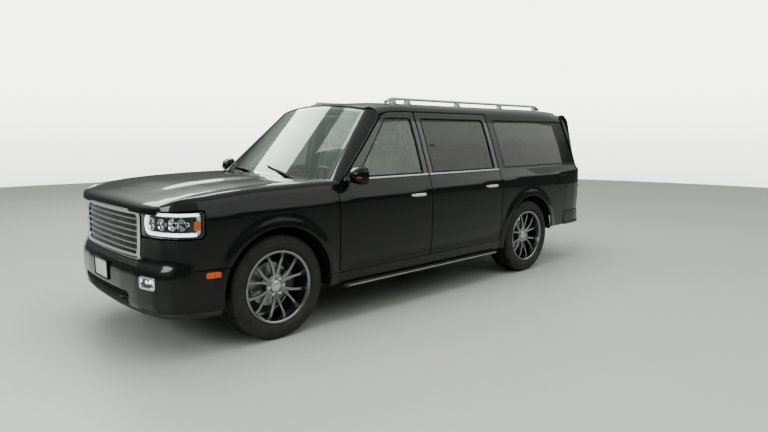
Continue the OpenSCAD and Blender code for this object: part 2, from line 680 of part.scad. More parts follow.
module exhaust() color("Silver") {
  path = [[x_door - 600, -230, pipe_z], [x_b + 100, -230, pipe_z], [x_c + 40, pipe_y, pipe_z],
    [x_rear + 230, pipe_y, 525], [x_rear - 230, pipe_y, 525], [x_rear - 560, pipe_y, 400],
    [x_back + 90, pipe_y, 400]];
  for (i = [0:len(path) - 2]) tube(path[i], path[i + 1], 28, 12);
  // sleeves over the bends
  for (i = [1:len(path) - 2]) let (back = path[i] - path[i - 1], u = back / norm(back))
    tube(path[i] - 45 * u, path[i] + 30 * u, 34, 12);
  translate([x_b + 150, -230, pipe_z]) rotate([0, 90, 0]) cylinder(r = 62, h = 420);
  box([x_b + 260, -rail_in, 345], [x_b + 300, -230, 365]);
}

// ---- front suspension and steering ----
pivot_y = 770;
arm_low = 290;
arm_high = 555;
pin_r = 12;
pin_play = 0.5;
rod_x = x_front - 140;
rod_z = 360;
rod_r = 12;
eye_y = pivot_y - 18;
rod_end = eye_y - 30;
module wishbone(z, h, y0) difference() {
  union() {
    translate([0, 0, z]) linear_extrude(h) polygon([[x_front - 100, y0], [x_front + 100, y0],
      [x_front + 24, pivot_y - 60], [x_front + 24, pivot_y], [x_front - 24, pivot_y],
      [x_front - 24, pivot_y - 60]]);
    translate([x_front, pivot_y, z]) cylinder(r = 28, h = h);
  }
  translate([x_front, pivot_y, z - 1]) cylinder(r = pin_r + pin_play, h = h + 2);
}
module front_suspension() color("SlateGray") {
  both() {
    wishbone(arm_low, 40, 440);
    wishbone(arm_high, 30, rail_out - 10);
  }
  both() box([x_front - 100, rail_in + 20, front_rail + rail_height],
    [x_front + 100, rail_out, arm_high + 30]);
  difference() {
    union() {
      box([x_front - 100, -rail_out, arm_low + 10], [x_front + 100, rail_out, front_rail]);
      disc([rod_x, rod_z], 32, -330, 330);
      both() box([rod_x, 230, rod_z - 30], [x_front - 90, 300, rod_z + 30]);
    }
    disc([rod_x, rod_z], rod_r + pin_play, -400, 400);
  }
}
module tie_rods() color("Silver") disc([rod_x, rod_z], rod_r, -rod_end, rod_end);
hub_y = track / 2;
spindle_r = 28;
disc_r = 175;
disc_y = hub_y - 45;
disc_w = 28;
module caliper(x) difference() {
  along_y(disc_y - 24, disc_y + disc_w + 22) polygon([[x - 120, axle_z - 95], [x - 175, axle_z - 85],
    [x - 212, axle_z - 40], [x - 212, axle_z + 40], [x - 175, axle_z + 85], [x - 120, axle_z + 95]]);
  disc([x, axle_z], disc_r + 8, disc_y - 7, disc_y + disc_w + 7);
}
module left_knuckle() color("SlateGray") {
  box([x_front - 32, pivot_y - 25, arm_low + 55], [x_front + 32, pivot_y + 20, arm_high - 10]);
  translate([x_front, pivot_y, arm_low + 2]) cylinder(r = pin_r, h = 60);
  translate([x_front, pivot_y, arm_high - 12]) cylinder(r = pin_r, h = 40);
  disc([x_front, axle_z], spindle_r, pivot_y, hub_y + 10);
  box([x_front - 125, pivot_y - 5, axle_z - 40], [x_front - 20, pivot_y + 12, axle_z + 40]);
  box([x_front - 165, pivot_y - 5, axle_z - 40], [x_front - 121, disc_y - 20, axle_z + 40]);
  caliper(x_front);
  tube([x_front, pivot_y - 8, rod_z], [rod_x, eye_y, rod_z], 13);
  translate([rod_x, eye_y, rod_z - 16]) cylinder(r = 22, h = 32);
}
module right_knuckle() mirror([0, 1, 0]) left_knuckle();
module rear_axle() color("SlateGray") {
  disc([x_rear, axle_z], 42, -pivot_y - 20, pivot_y + 20);
  disc([x_rear, axle_z], spindle_r, -hub_y - 10, hub_y + 10);
  translate([x_rear, 0, axle_z]) sphere(r = 130);
  translate([x_rear + 80, 0, shaft_z]) rotate([0, 90, 0])
    cylinder(r = shaft_r + 20, h = 50);
  both() {
    translate([x_rear, rail_out + 62, axle_z]) cylinder(r = 48, h = load_floor - 40 - axle_z);
    tube([x_rear, rail_out + 62, axle_z - 30], [x_c + 160, rail_out + 32, mid_rail + 40], 24);
    box([x_c + 110, rail_out, mid_rail + 5], [x_c + 200, rail_out + 60, mid_rail + 80]);
    box([x_rear - 165, pivot_y - 5, axle_z - 30], [x_rear - 20, pivot_y + 12, axle_z + 30]);
    box([x_rear - 165, pivot_y - 5, axle_z - 30], [x_rear - 121, disc_y - 20, axle_z + 30]);
    caliper(x_rear);
  }
}

// ---- wheels, drawn about the axle line with the outer face at +Y ----
rim_r = rim_diameter / 2;
module spun() rotate([-90, 0, 0]) rotate_extrude() children();
module rim_left() {
  lip = tyre_width / 2 - 8;
  spun() polygon([[rim_r - 25, -60], [rim_r - 4, -lip + 22], [rim_r - 4, -lip - 0.1], [rim_r + 13, -lip],
    [rim_r + 13, -lip + 12], [rim_r, -lip + 16], [rim_r, -lip + 45], [rim_r - 18, -52],
    [rim_r - 18, 50], [rim_r, lip - 45], [rim_r, lip - 16], [rim_r + 13, lip - 12],
    [rim_r + 13, lip], [rim_r - 6, lip], [rim_r - 25, 60]]);
  difference() {
    union() {
      spun() polygon([[0, 16], [78, 16], [78, 80], [60, 92], [0, 92]]);
      for (i = [0:spoke_count - 1]) rotate([0, i * 360 / spoke_count, 0])
        box([50, 62, -30], [rim_r - 20, 98, 30]);
      spun() polygon([[spindle_r + 2 * pin_play, -45], [78, -45], [78, 20],
        [spindle_r + 2 * pin_play, 20]]);
      spun() polygon([[70, -45], [disc_r, -45], [disc_r, disc_w - 45], [70, disc_w - 45]]);
    }
    disc([0, 0], spindle_r + pin_play, -50, 12);
  }
}
module tyre_shape() {
  w = tyre_width / 2;
  spun() polygon([[rim_r, w - 24], [rim_r + 17, w - 24], [rim_r + 20, w - 8], [rim_r + 65, w],
    [tyre_r - 30, w - 4], [tyre_r - 8, w - 26], [tyre_r, w - 58], [tyre_r, -w + 58],
    [tyre_r - 8, -w + 26], [tyre_r - 30, -w + 4], [rim_r + 65, -w], [rim_r + 20, -w + 8],
    [rim_r + 17, -w + 24], [rim_r, -w + 24], [rim_r, -w + 42], [rim_r + 22, -w + 32],
    [rim_r + 65, -w + 16], [tyre_r - 34, -w + 22], [tyre_r - 16, -w + 60], [tyre_r - 16, w - 60],
    [tyre_r - 34, w - 22], [rim_r + 65, w - 16], [rim_r + 22, w - 32], [rim_r, w - 42]]);
}
module at_wheel(x, side) translate([x, side * hub_y, axle_z]) mirror([0, side < 0 ? 1 : 0, 0]) children();
module front_left_rim() color("Silver") at_wheel(x_front, 1) rim_left();
module front_right_rim() color("Silver") at_wheel(x_front, -1) rim_left();
module rear_left_rim() color("Silver") at_wheel(x_rear, 1) rim_left();
module rear_right_rim() color("Silver") at_wheel(x_rear, -1) rim_left();
module front_left_tyre() color("DimGray") at_wheel(x_front, 1) tyre_shape();
module front_right_tyre() color("DimGray") at_wheel(x_front, -1) tyre_shape();
module rear_left_tyre() color("DimGray") at_wheel(x_rear, 1) tyre_shape();
module rear_right_tyre() color("DimGray") at_wheel(x_rear, -1) tyre_shape();

front_frame();
mid_frame();
rear_frame();
floor_pan();
firewall();
body_sides();
roof();
roof_rails();
front_fenders();
windscreen();
quarter_glass();
front_bumper();
rear_bumper();
grille();
headlamps();
taillamps();
fog_lamps();
plate_brackets();
running_boards();
dashboard();
steering_wheel();
front_seats();
rear_seats();
engine();
radiator();
fuel_tank();
exhaust();
front_suspension();
rear_axle();
tie_rods();
left_knuckle();
right_knuckle();
front_left_rim();
front_left_tyre();
front_right_rim();
front_right_tyre();
rear_left_rim();
rear_left_tyre();
rear_right_rim();
rear_right_tyre();
front_left_door();
front_left_glass();
front_right_door();
front_right_glass();
rear_left_door();
rear_left_glass();
rear_right_door();
rear_right_glass();
hood();
liftgate();
liftgate_glass();
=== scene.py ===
"""Looks of an extended three-row SUV.

Metres; +X ahead, +Y to the vehicle's left, +Z up. Every piece rides on a body of the frame."""
import json
import math

import bmesh
import bpy
import numpy as np
from bpy.props import FloatProperty, FloatVectorProperty
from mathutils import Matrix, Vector
from mathutils.geometry import delaunay_2d_cdt

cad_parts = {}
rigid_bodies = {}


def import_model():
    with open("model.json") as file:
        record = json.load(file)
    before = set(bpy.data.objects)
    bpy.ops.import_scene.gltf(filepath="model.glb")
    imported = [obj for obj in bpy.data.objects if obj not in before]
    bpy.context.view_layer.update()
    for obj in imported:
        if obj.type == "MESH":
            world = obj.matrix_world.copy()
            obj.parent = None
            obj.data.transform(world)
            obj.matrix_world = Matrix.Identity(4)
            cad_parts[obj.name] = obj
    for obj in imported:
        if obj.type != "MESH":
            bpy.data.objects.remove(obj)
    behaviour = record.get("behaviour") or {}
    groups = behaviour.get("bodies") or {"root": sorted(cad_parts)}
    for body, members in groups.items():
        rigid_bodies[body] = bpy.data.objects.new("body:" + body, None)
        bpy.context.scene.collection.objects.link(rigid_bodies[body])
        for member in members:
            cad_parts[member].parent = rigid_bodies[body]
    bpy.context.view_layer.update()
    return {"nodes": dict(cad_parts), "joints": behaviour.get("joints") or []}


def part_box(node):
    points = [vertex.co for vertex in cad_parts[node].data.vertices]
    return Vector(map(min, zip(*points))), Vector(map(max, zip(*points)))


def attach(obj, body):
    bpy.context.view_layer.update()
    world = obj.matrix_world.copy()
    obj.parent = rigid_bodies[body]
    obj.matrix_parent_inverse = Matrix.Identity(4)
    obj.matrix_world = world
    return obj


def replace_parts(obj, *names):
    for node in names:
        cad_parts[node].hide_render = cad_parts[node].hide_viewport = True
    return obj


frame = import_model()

bl_info = {
    "name": "Extended SUV",
    "version": (1, 0, 0),
    "blender": (4, 5, 0),
    "location": "View3D > Sidebar > SUV",
    "description": "Body, glass, lamps, wheels and cabin of a three-row SUV",
    "category": "Add Mesh",
}

JOINTS = {j["name"]: j for j in frame["joints"]}
SIDES = (("left", 1), ("right", -1))
UP = (0.0, 0.0, 1.0)
NUDGE = 0.004


# ---- where things are, from the frame ----
def low(node):
    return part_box(node)[0]


def high(node):
    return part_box(node)[1]


HALF = high("body_sides").y
FRONT_AXLE = JOINTS["front_left_spin"]["pos_m"][0]
REAR_AXLE = JOINTS["rear_left_spin"]["pos_m"][0]
AXLE_Z = JOINTS["front_left_spin"]["pos_m"][2]
HUB_Y = JOINTS["front_left_spin"]["pos_m"][1]
DOOR_FRONT = high("front_left_door").x
DOOR_SPLIT = (low("front_left_door").x + high("rear_left_door").x) / 2
DOOR_REAR = low("rear_left_door").x - 0.004
DOOR_LOW = low("front_left_door").z
BELT = low("front_left_glass").z - 0.026
FRAME_TOP = high("rear_left_door").z
ROOF = high("roof").z
SILL = low("body_sides").z
GAP = 0.007
ARCH = 0.474
HOOD_BACK = low("hood").x
HOOD_HALF = high("hood").y + 0.004


# ---- drawing tools ----
def soft(rows, blur):
    """Curve through [place, value...] rows, rounded over blur, straight past its ends."""
    rows = np.array(rows, float)
    x = rows[:, 0]
    step = max(0.001, blur / 8)
    pad = 4 * blur
    grid = np.arange(x[0] - pad, x[-1] + pad + step, step)
    weights = np.exp(-0.5 * (np.arange(-32, 33) / 8.0) ** 2)
    weights /= weights.sum()
    columns = []
    for k in range(1, rows.shape[1]):
        v = np.interp(grid, x, rows[:, k])
        first = (rows[1, k] - rows[0, k]) / (x[1] - x[0])
        last = (rows[-1, k] - rows[-2, k]) / (x[-1] - x[-2])
        v = np.where(grid < x[0], rows[0, k] + first * (grid - x[0]), v)
        v = np.where(grid > x[-1], rows[-1, k] + last * (grid - x[-1]), v)
        full = np.concatenate([np.full(32, v[0]), v, np.full(32, v[-1])])
        columns.append(np.convolve(full, weights, mode="valid"))

    def at(v):
        got = [np.interp(v, grid, c) for c in columns]
        return got[0] if len(got) == 1 else got

    return at


def pair(a, b):
    """Both as arrays of one shape."""
    return np.broadcast_arrays(np.asarray(a, float), np.asarray(b, float))


def ease(t):
    t = np.clip(t, 0, 1)
    return t * t * (3 - 2 * t)


def unit(v):
    return v / np.maximum(np.linalg.norm(v, axis=-1, keepdims=True), 1e-12)


def outline(corners, radius=0.02, step=0.02):
    """Closed loop, against the clock, through (a, b) or (a, b, radius) corners, all rounded."""
    loop = []
    n = len(corners)
    for i in range(n):
        p0, p, p1 = (np.array(corners[(i + k) % n][:2], float) for k in (-1, 0, 1))
        r = corners[i][2] if len(corners[i]) > 2 else radius
        a, b = unit(p0 - p), unit(p1 - p)
        cosine = float(np.clip(a @ b, -1, 1))
        half = math.acos(cosine) / 2
        turn = math.pi - 2 * half
        if r <= 0 or turn < 0.02:
            loop.append(p)
            continue
        back = min(r / math.tan(half), 0.48 * np.linalg.norm(p0 - p), 0.48 * np.linalg.norm(p1 - p))
        r = back * math.tan(half)
        middle = p + unit(a + b) * r / math.sin(half)
        start, end = p + a * back - middle, p + b * back - middle
        t0 = math.atan2(start[1], start[0])
        sweep = math.atan2(start[0] * end[1] - start[1] * end[0], start @ end)
        count = max(3, int(abs(sweep) / 0.2) + 1)
        for k in range(count + 1):
            t = t0 + sweep * k / count
            loop.append(middle + r * np.array([math.cos(t), math.sin(t)]))
    return closed(np.array(loop), step)


def box_loop(a, b, half_a, half_b, radius, step):
    """Rounded rectangle about (a, b)."""
    corners = [(a + i * half_a, b + j * half_b) for i, j in ((-1, -1), (1, -1), (1, 1), (-1, 1))]
    return outline(corners, radius, step)


def closed(loop, step):
    """The same closed loop with no stretch longer than step."""
    out = []
    for p, q in zip(loop, np.roll(loop, -1, axis=0)):
        size = np.linalg.norm(q - p)
        if size < 1e-5:
            continue
        n = max(1, int(math.ceil(size / step - 1e-6)))
        out += [p + (q - p) * k / n for k in range(n)]
    out = np.array(out)
    area = 0.5 * np.sum(out[:, 0] * np.roll(out[:, 1], -1) - np.roll(out[:, 0], -1) * out[:, 1])
    return out if area > 0 else out[::-1]


def outward(loop):
    """Unit directions out of a loop that runs against the clock."""
    along = unit(np.roll(loop, -1, axis=0) - loop)
    before = np.roll(along, 1, axis=0)
    out = unit(np.stack([along[:, 1] + before[:, 1], -along[:, 0] - before[:, 0]], axis=1))
    lean = np.maximum(out[:, 0] * along[:, 1] - out[:, 1] * along[:, 0], 0.5)
    return out, 1 / lean


def grown(loop, size):
    out, stretch = outward(loop)
    return loop + out * (size * stretch)[:, None]


def within(points, loop):
    """Which of the points lie inside the loop."""
    inside = np.zeros(len(points), bool)
    x, y = points[:, 0], points[:, 1]
    for (x0, y0), (x1, y1) in zip(loop, np.roll(loop, -1, axis=0)):
        if y0 == y1:
            continue
        crossing = (y0 > y) != (y1 > y)
        inside ^= crossing & (x < (x1 - x0) * (y - y0) / (y1 - y0) + x0)
    return inside


def distance(points, loop):
    best = np.full(len(points), 1e9)
    for p, q in zip(loop, np.roll(loop, -1, axis=0)):
        d = q - p
        t = np.clip(((points - p) @ d) / max(d @ d, 1e-12), 0, 1)
        best = np.minimum(best, np.linalg.norm(points - p - t[:, None] * d, axis=1))
    return best


def mesh_object(name, verts, faces, normals=None, sharp=None):
    mesh = bpy.data.meshes.new(name)
    mesh.from_pydata([tuple(v) for v in np.asarray(verts, float)], [], [tuple(int(i) for i in f)
            for f in faces])
    mesh.validate()
    mesh.polygons.foreach_set("use_smooth", [True] * len(mesh.polygons))
    if sharp is not None:
        mesh.set_sharp_from_angle(angle=math.radians(sharp))
    if normals is not None and len(normals) == len(mesh.vertices):
        mesh.normals_split_custom_set_from_vertices([tuple(v) for v in np.asarray(normals, float)])
    mesh.update()
    obj = bpy.data.objects.new(name, mesh)
    bpy.context.scene.collection.objects.link(obj)
    return obj


def dress(obj, body, mat, stands_for=()):
    """Gives a new piece its finish and its body, and hides the frame nodes it stands for."""
    obj.data.materials.append(mat)
    if stands_for:
        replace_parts(obj, *stands_for)
    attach(obj, body)
    return obj


class Shape:
    """Points, faces and normals of a piece while it's drawn."""

    def __init__(self):
        self.points, self.normals, self.faces = [], [], []
        self.count = 0

    def add(self, points, faces, normals=None):
        points = np.asarray(points, float)
        self.points.append(points)
        self.normals.append(np.zeros_like(points) + UP if normals is None else normals)
        self.faces += [tuple(i + self.count for i in f) for f in faces]
        self.count += len(points)

    def mirrored(self):
        other = Shape()
        flip = np.array([1.0, -1.0, 1.0])
        other.points = [p * flip for p in self.points]
        other.normals = [n * flip for n in self.normals]
        other.faces = [f[::-1] for f in self.faces]
        other.count = self.count
        return other

    def join(self, other, shift=(0.0, 0.0, 0.0)):
        self.add(np.concatenate(other.points) + shift, other.faces, np.concatenate(other.normals))
        return self

    def object(self, name, sharp=None):
        normals = None if sharp is not None else np.concatenate(self.normals)
        return mesh_object(name, np.concatenate(self.points), self.faces, normals, sharp)


def surface(f, a, b, side):
    """Points of f at (a, b) with the normals and both tangents."""
    e = 0.0015
    p = f(a, b)
    fa = (f(a + e, b) - f(a - e, b)) / (2 * e)
    fb = (f(a, b + e) - f(a, b - e)) / (2 * e)
    return p, unit(np.cross(fa, fb)) * side, fa, fb


def on(f, a, b, side):
    """Points of f at (a, b) and the normals there."""
    return surface(f, a, b, side)[:2]


def panel(f, loop, holes=(), grid=0.03, roll=0.004, deep=0.018, side=1.0, back=True, lift=0.0,
          shape=None):
    """Sheet on surface f inside loop: edges rolled by roll and turned in by deep, with a back."""
    shape = shape or Shape()
    loops = [grown(loop, -roll)] + [grown(h, roll) for h in holes]
    low_corner, high_corner = loops[0].min(axis=0), loops[0].max(axis=0)
    a = np.arange(low_corner[0] + grid / 2, high_corner[0], grid)
    b = np.arange(low_corner[1] + grid / 2, high_corner[1], grid * 0.9)
    aa, bb = np.meshgrid(a, b)
    aa = aa + (np.arange(len(b)) % 2)[:, None] * grid / 2
    inner = np.stack([aa.ravel(), bb.ravel()], axis=1)
    keep = within(inner, loops[0])
    inner = inner[keep]
    for k, l in enumerate(loops):
        if k:
            inner = inner[~within(inner, l)]
        inner = inner[distance(inner, l) > grid * 0.45]
    flat = np.concatenate(loops + [inner])
    edges, start = [], 0
    for l in loops:
        edges += [(start + i, start + (i + 1) % len(l)) for i in range(len(l))]
        start += len(l)
    verts, _, tris, _, _, _ = delaunay_2d_cdt([Vector((float(p[0]), float(p[1]))) for p in flat],
                                              edges, [], 0, 1e-7)
    flat = np.array([[v.x, v.y] for v in verts])
    tris = np.array([t for t in tris if len(t) == 3])
    middle = flat[tris].mean(axis=1)
    keep = within(middle, loops[0])
    for l in loops[1:]:
        keep &= ~within(middle, l)
    tris = tris[keep]
    p, n = on(f, flat[:, 0], flat[:, 1], side)
    p = p + n * lift
    front = tris if side > 0 else tris[:, ::-1]
    shape.add(p, [tuple(t) for t in front], n)
    if back:
        shape.add(p - n * deep, [tuple(t[::-1]) for t in front], -n)
    for k, l in enumerate(loops):
        out, _ = outward(l)
        if k:
            out = -out
        q, m, fa, fb = surface(f, l[:, 0], l[:, 1], side)
        q = q + m * lift
        o = fa * out[:, :1] + fb * out[:, 1:]
        o = unit(o - m * np.sum(o * m, axis=1, keepdims=True))
        rows, ways = [], []
        for turn in (0, 30, 60, 90) if roll > 0 else (90,):
            t = math.radians(turn)
            rows.append(q + o * roll * math.sin(t) - m * roll * (1 - math.cos(t)))
            ways.append(m * math.cos(t) + o * math.sin(t))
        rows.append(q + o * roll - m * max(deep, roll + 0.001))
        ways.append(o)
        if back:
            rows.append(q - m * max(deep, roll + 0.001))
            ways.append(-m)
        size = len(l)
        quads = []
        for r in range(len(rows) - 1):
            for i in range(size):
                j = (i + 1) % size
                quad = (r * size + i, r * size + j, (r + 1) * size + j, (r + 1) * size + i)
                quads.append(quad if (side > 0) == (k > 0) else quad[::-1])
        shape.add(np.concatenate(rows), quads, np.concatenate(ways))
    return shape


def strip(rows, shape=None, flip=False):
    """Faces between rows of points."""
    shape = shape or Shape()
    rows = [np.asarray(r, float) for r in rows]
    size = len(rows[0])
    quads = []
    for r in range(len(rows) - 1):
        for i in range(r * size, (r + 1) * size - 1):
            quad = (i, i + 1, i + 1 + size, i + size)
            quads.append(quad[::-1] if flip else quad)
    shape.add(np.concatenate(rows), quads)
    return shape


def tube(rows, shape=None, capped=False):
    """Faces round closed rows of points, and over both ends if capped."""
    shape = strip([np.vstack([r, r[:1]]) for r in rows], shape)
    if capped:
        face = tuple(range(len(rows[0])))
        shape.add(rows[0], [face])
        shape.add(rows[-1], [face[::-1]])
    return shape


def sweep(path, ways, section, shape=None, ring=False):
    """Section, as (out, across) points, carried along a path whose out directions are ways."""
    shape = shape or Shape()
    path, ways = np.asarray(path, float), np.asarray(ways, float)
    if ring:
        along = unit(np.roll(path, -1, axis=0) - np.roll(path, 1, axis=0))
    else:
        along = unit(np.gradient(path, axis=0))
    across = unit(np.cross(along, ways))
    ways = unit(np.cross(across, along))
    section = np.asarray(section, float)
    size, n = len(section), len(path)
    points = (path[:, None, :] + ways[:, None, :] * section[None, :, :1] + across[:, None,
            :] * section[None, :, 1:])
    points = points.reshape(-1, 3)
    quads = []
    for r in range(n if ring else n - 1):
        s = (r + 1) % n
        for i in range(size):
            j = (i + 1) % size
            quads.append((r * size + i, s * size + i, s * size + j, r * size + j))
    if not ring:
        quads.append(tuple(range(size)))
        quads.append(tuple((n - 1) * size + i for i in range(size))[::-1])
    shape.add(points, quads)
    return shape


def bar(f, a, b, side, lift, section, shape=None, ring=False):
    """Section carried along a path on surface f, lift above it."""
    p, n = on(f, a, b, side)
    return sweep(p + n * lift, n, section, shape, ring)


def oval(wide, high_, sides=10, power=2.0):
    """Closed rounded section."""
    t = np.arange(sides) * 2 * math.pi / sides
    c, s = np.cos(t), np.sin(t)
    return np.stack([np.sign(c) * np.abs(c) ** (2 / power) * wide / 2,
                     np.sign(s) * np.abs(s) ** (2 / power) * high_ / 2], axis=1)


def tidy(obj, merge=0.0):
    """Makes all faces look outward, after joining points closer than merge."""
    bm = bmesh.new()
    bm.from_mesh(obj.data)
    if merge:
        bmesh.ops.remove_doubles(bm, verts=bm.verts, dist=merge)
    bmesh.ops.recalc_face_normals(bm, faces=bm.faces)
    bm.to_mesh(obj.data)
    bm.free()
    return obj


def bevel(obj, width, segments=2, angle=30):
    m = obj.modifiers.new("edges", "BEVEL")
    m.width, m.segments = width, segments
    m.limit_method, m.angle_limit = "ANGLE", math.radians(angle)
    return obj


def subdivide(obj):
    m = obj.modifiers.new("rounding", "SUBSURF")
    m.levels = m.render_levels = 1
    return obj


def turned(profile, sides, closed_profile=True):
    """Rows of (radius, y) points turned about the Y axis."""
    t = np.arange(sides) * 2 * math.pi / sides
    profile = np.asarray(profile, float)
    points = np.stack([profile[:, None, 0] * np.sin(t), np.repeat(profile[:, 1:2], sides, axis=1),
                       profile[:, None, 0] * np.cos(t)], axis=2).reshape(-1, 3)
    quads = []
    n = len(profile)
    for r in range(n if closed_profile else n - 1):
        s = (r + 1) % n
        for i in range(sides):
            j = (i + 1) % sides
            quads.append((r * sides + i, r * sides + j, s * sides + j, s * sides + i))
    return points, quads


def block(shape, a, b):
    """Plain box between two corners, for a bevelled or rounded piece."""
    a, b = np.minimum(a, b), np.maximum(a, b)
    p = np.array([[x, y, z] for x in (a[0], b[0]) for y in (a[1], b[1]) for z in (a[2], b[2])])
    f = [(0, 1, 3, 2), (4, 6, 7, 5), (0, 4, 5, 1), (2, 3, 7, 6), (0, 2, 6, 4), (1, 5, 7, 3)]
    shape.add(p, f)
    return shape


def pushed(loop, y0, y1):
    """Solid of a side-view loop between two distances across."""
    n = len(loop)
    p = [np.stack([loop[:, 0], np.full(n, y), loop[:, 1]], 1) for y in (y0, y1)]
    f = [(i, (i + 1) % n, n + (i + 1) % n, n + i) for i in range(n)]
    f += [tuple(range(n))[::-1], tuple(range(n, 2 * n))]
    shape = Shape()
    shape.add(np.concatenate(p), f)
    return shape


# ---- the body's surfaces; u runs round the left side in plan, from the tail to the nose ----
def plan_curve(rows, blur):
    """Points round the left side by length, and the lengths at which x or y is passed."""
    rows = np.array(rows, float)
    full = np.concatenate([rows[3:0:-1] * [1, -1], rows, rows[-2:-5:-1] * [1, -1]])
    length = np.concatenate([[0], np.cumsum(np.linalg.norm(np.diff(full, axis=0), axis=1))])
    length -= length[3]
    table = soft(np.column_stack([length, full]), blur)
    end = length[3 + len(rows) - 1]
    half = 1500
    u = np.linspace(-0.2, end + 0.2, 2 * half)
    x, y = table(u)
    run = np.concatenate([[0], np.cumsum(np.hypot(np.diff(x), np.diff(y)))])
    run -= np.interp(0, y[:half], run[:half])
    corner = np.argmax(y > 0.2)

    def at(v):
        return np.interp(v, run, x), np.interp(v, run, y)

    def find_x(value):
        return np.interp(value, x[corner:], run[corner:])

    def find_y(value):
        return np.interp(-np.asarray(value), -y[half:], run[half:])

    return at, find_x, find_y


def plan_way(curve, u):
    """Place on a plan curve and the way inwards from it."""
    x, y = curve(u)
    xa, ya = curve(u + NUDGE)
    xb, yb = curve(u - NUDGE)
    t = unit(np.stack([xa - xb, ya - yb], axis=-1))
    return x, y, -t[..., 1], t[..., 0]


PLAN = [(-2.80, 0), (-2.80, 0.30), (-2.80, 0.52), (-2.788, 0.75), (-2.745, 0.90), (-2.65, 0.978),
        (-2.50, 1.012), (-2.30, 1.026), (-2.0, 1.03), (2.05, 1.03), (2.35, 1.022), (2.50, 1.002),
        (2.62, 0.962), (2.70, 0.902), (2.755, 0.80), (2.785, 0.60), (2.797, 0.30), (2.80, 0)]
plan, plan_x, plan_y = plan_curve(PLAN, 0.035)
flank = soft([(0, 0.048), (0.12, 0.024), (0.30, 0.010), (0.55, 0.001), (0.80, 0.000), (1.0, 0.003),
              (2.0, 0.055)], 0.05)
house = soft([(BELT, 0.055), (1.505, 0.158), (1.70, 0.235), (1.80, 0.278), (1.838, 0.304),
              (1.868, 0.330), (1.90, 0.360), (1.936, 0.390), (2.0, 0.452)], 0.014)
house_z = soft([(BELT, BELT), (1.80, 1.80), (1.838, 1.832), (1.868, 1.855), (1.90, 1.8685),
                (1.936, 1.8755), (2.0, 1.880)], 0.012)
rear_lean = soft([(0.3, 0.012), (0.64, 0.004), (0.95, 0.0), (1.14, 0.002), (BELT, 0.012),
                  (1.50, 0.052), (1.80, 0.094), (1.86, 0.112), (1.936, 0.15)], 0.02)
front_lean = soft([(0.3, 0.0), (0.98, 0.0), (1.05, 0.006), (1.10, 0.02), (1.3, 0.10)], 0.02)
hood_top = soft([(1.3, 1.250), (1.6, 1.245), (2.1, 1.230), (2.45, 1.197), (2.62, 1.163),
                 (2.72, 1.125), (2.80, 1.075)], 0.05)


def crease(x):
    return 1.035 + (1.36 - np.clip(x, -2.5, 2.4)) * 0.026


def flare(x, z):
    """How far the skin stands proud round the wheel arches."""
    out = 0
    for centre in (FRONT_AXLE, REAR_AXLE):
        r = np.hypot(x - centre, z - AXLE_Z)
        out = out + 0.013 * ease((0.575 - r) / 0.085)
    return out


def inset_y(x, v):
    c = crease(x)
    q = np.where(v < c, (v - SILL) / (c - SILL), 1 + (v - c) / (BELT - c))
    swell = 0.011 * np.exp(-((v - 0.505) / 0.045) ** 2)
    swell = swell * ease((1.32 - x) / 0.25) * ease((x + 1.0) / 0.25)
    return np.where(v <= BELT, flank(q) + swell - flare(x, v), house(v))


def rear_fall(x):
    return 0.045 * np.clip((-2.10 - x) / 0.60, 0, 1.2) ** 2.0


def roof_drop(x, v):
    """The roof's ends fall towards the windscreen and the liftgate."""
    front = 0.055 * np.clip((x - 0.22) / 0.50, 0, 1.2) ** 2.2
    return (front + rear_fall(x)) * ease((v - 1.70) / 0.2)


def side_skin(u, v):
    """Lower body and glasshouse; v is height up to the roof edge, then the way over it."""
    u, v = pair(u, v)
    x, y, nx, ny = plan_way(plan, u)
    lean = np.where(nx < 0, rear_lean(v), front_lean(v))
    z = np.where(v <= BELT, v, house_z(v)) - roof_drop(x, v)
    return np.stack([x - nx * lean, y - ny * inset_y(x, v), z], axis=-1)


def along_side(corners):
    """Corners given as (x, v) turned into (u, v)."""
    return [(float(plan_x(c[0])),) + tuple(c[1:]) for c in corners]


# hood: s runs forward from the cowl, over the nose and down its front
HOOD_RUN = [(HOOD_BACK - 0.06, 1.2465), (HOOD_BACK, 1.245), (1.85, 1.2395), (2.10, 1.229),
            (2.30, 1.2145), (2.45, 1.196), (2.60, 1.168), (2.70, 1.139), (2.752, 1.112),
            (2.778, 1.085), (2.789, 1.06), (2.793, 1.0)]
_run = np.array(HOOD_RUN)
_len = np.concatenate([[0], np.cumsum(np.linalg.norm(np.diff(_run, axis=0), axis=1))])
hood_line = soft(np.column_stack([_len, _run]), 0.022)
HOOD_S0 = float(_len[1])
crown = soft([(-0.2, 0.002), (0.0, 0.0), (0.2, 0.002), (0.4, 0.008), (0.7, 0.021), (0.83, 0.033),
              (0.95, 0.055)], 0.06)
bulge_edge = soft([(-0.2, 0), (0.43, 0.0), (0.50, 1.0), (1.0, 1.0)], 0.018)


def hood_skin(s, y):
    s, y = pair(s, y)
    x, z = hood_line(s)
    xa, za = hood_line(s + NUDGE)
    xb, zb = hood_line(s - NUDGE)
    t = unit(np.stack([xa - xb, za - zb], axis=-1))
    nz, nx = t[..., 0], -t[..., 1]
    front_x, _ = plan(plan_y(np.clip(np.abs(y), 0, 0.95)))
    back_ = 2.80 - front_x
    fade = ease((s - 0.08) / 0.35) * ease((1.12 - s) / 0.30)
    power = 0.013 * (1 - bulge_edge(np.abs(y) + 0.05 * (s - 0.5))) * fade
    return np.stack([x - nx ** 1.5 * back_, y, z - nz ** 2 * crown(np.abs(y)) + power], axis=-1)


def hood_s(x):
    """Way along the hood where its middle line passes x."""
    s = np.linspace(0, float(_len[-1]), 800)
    return float(np.interp(x, hood_line(s)[0], s))


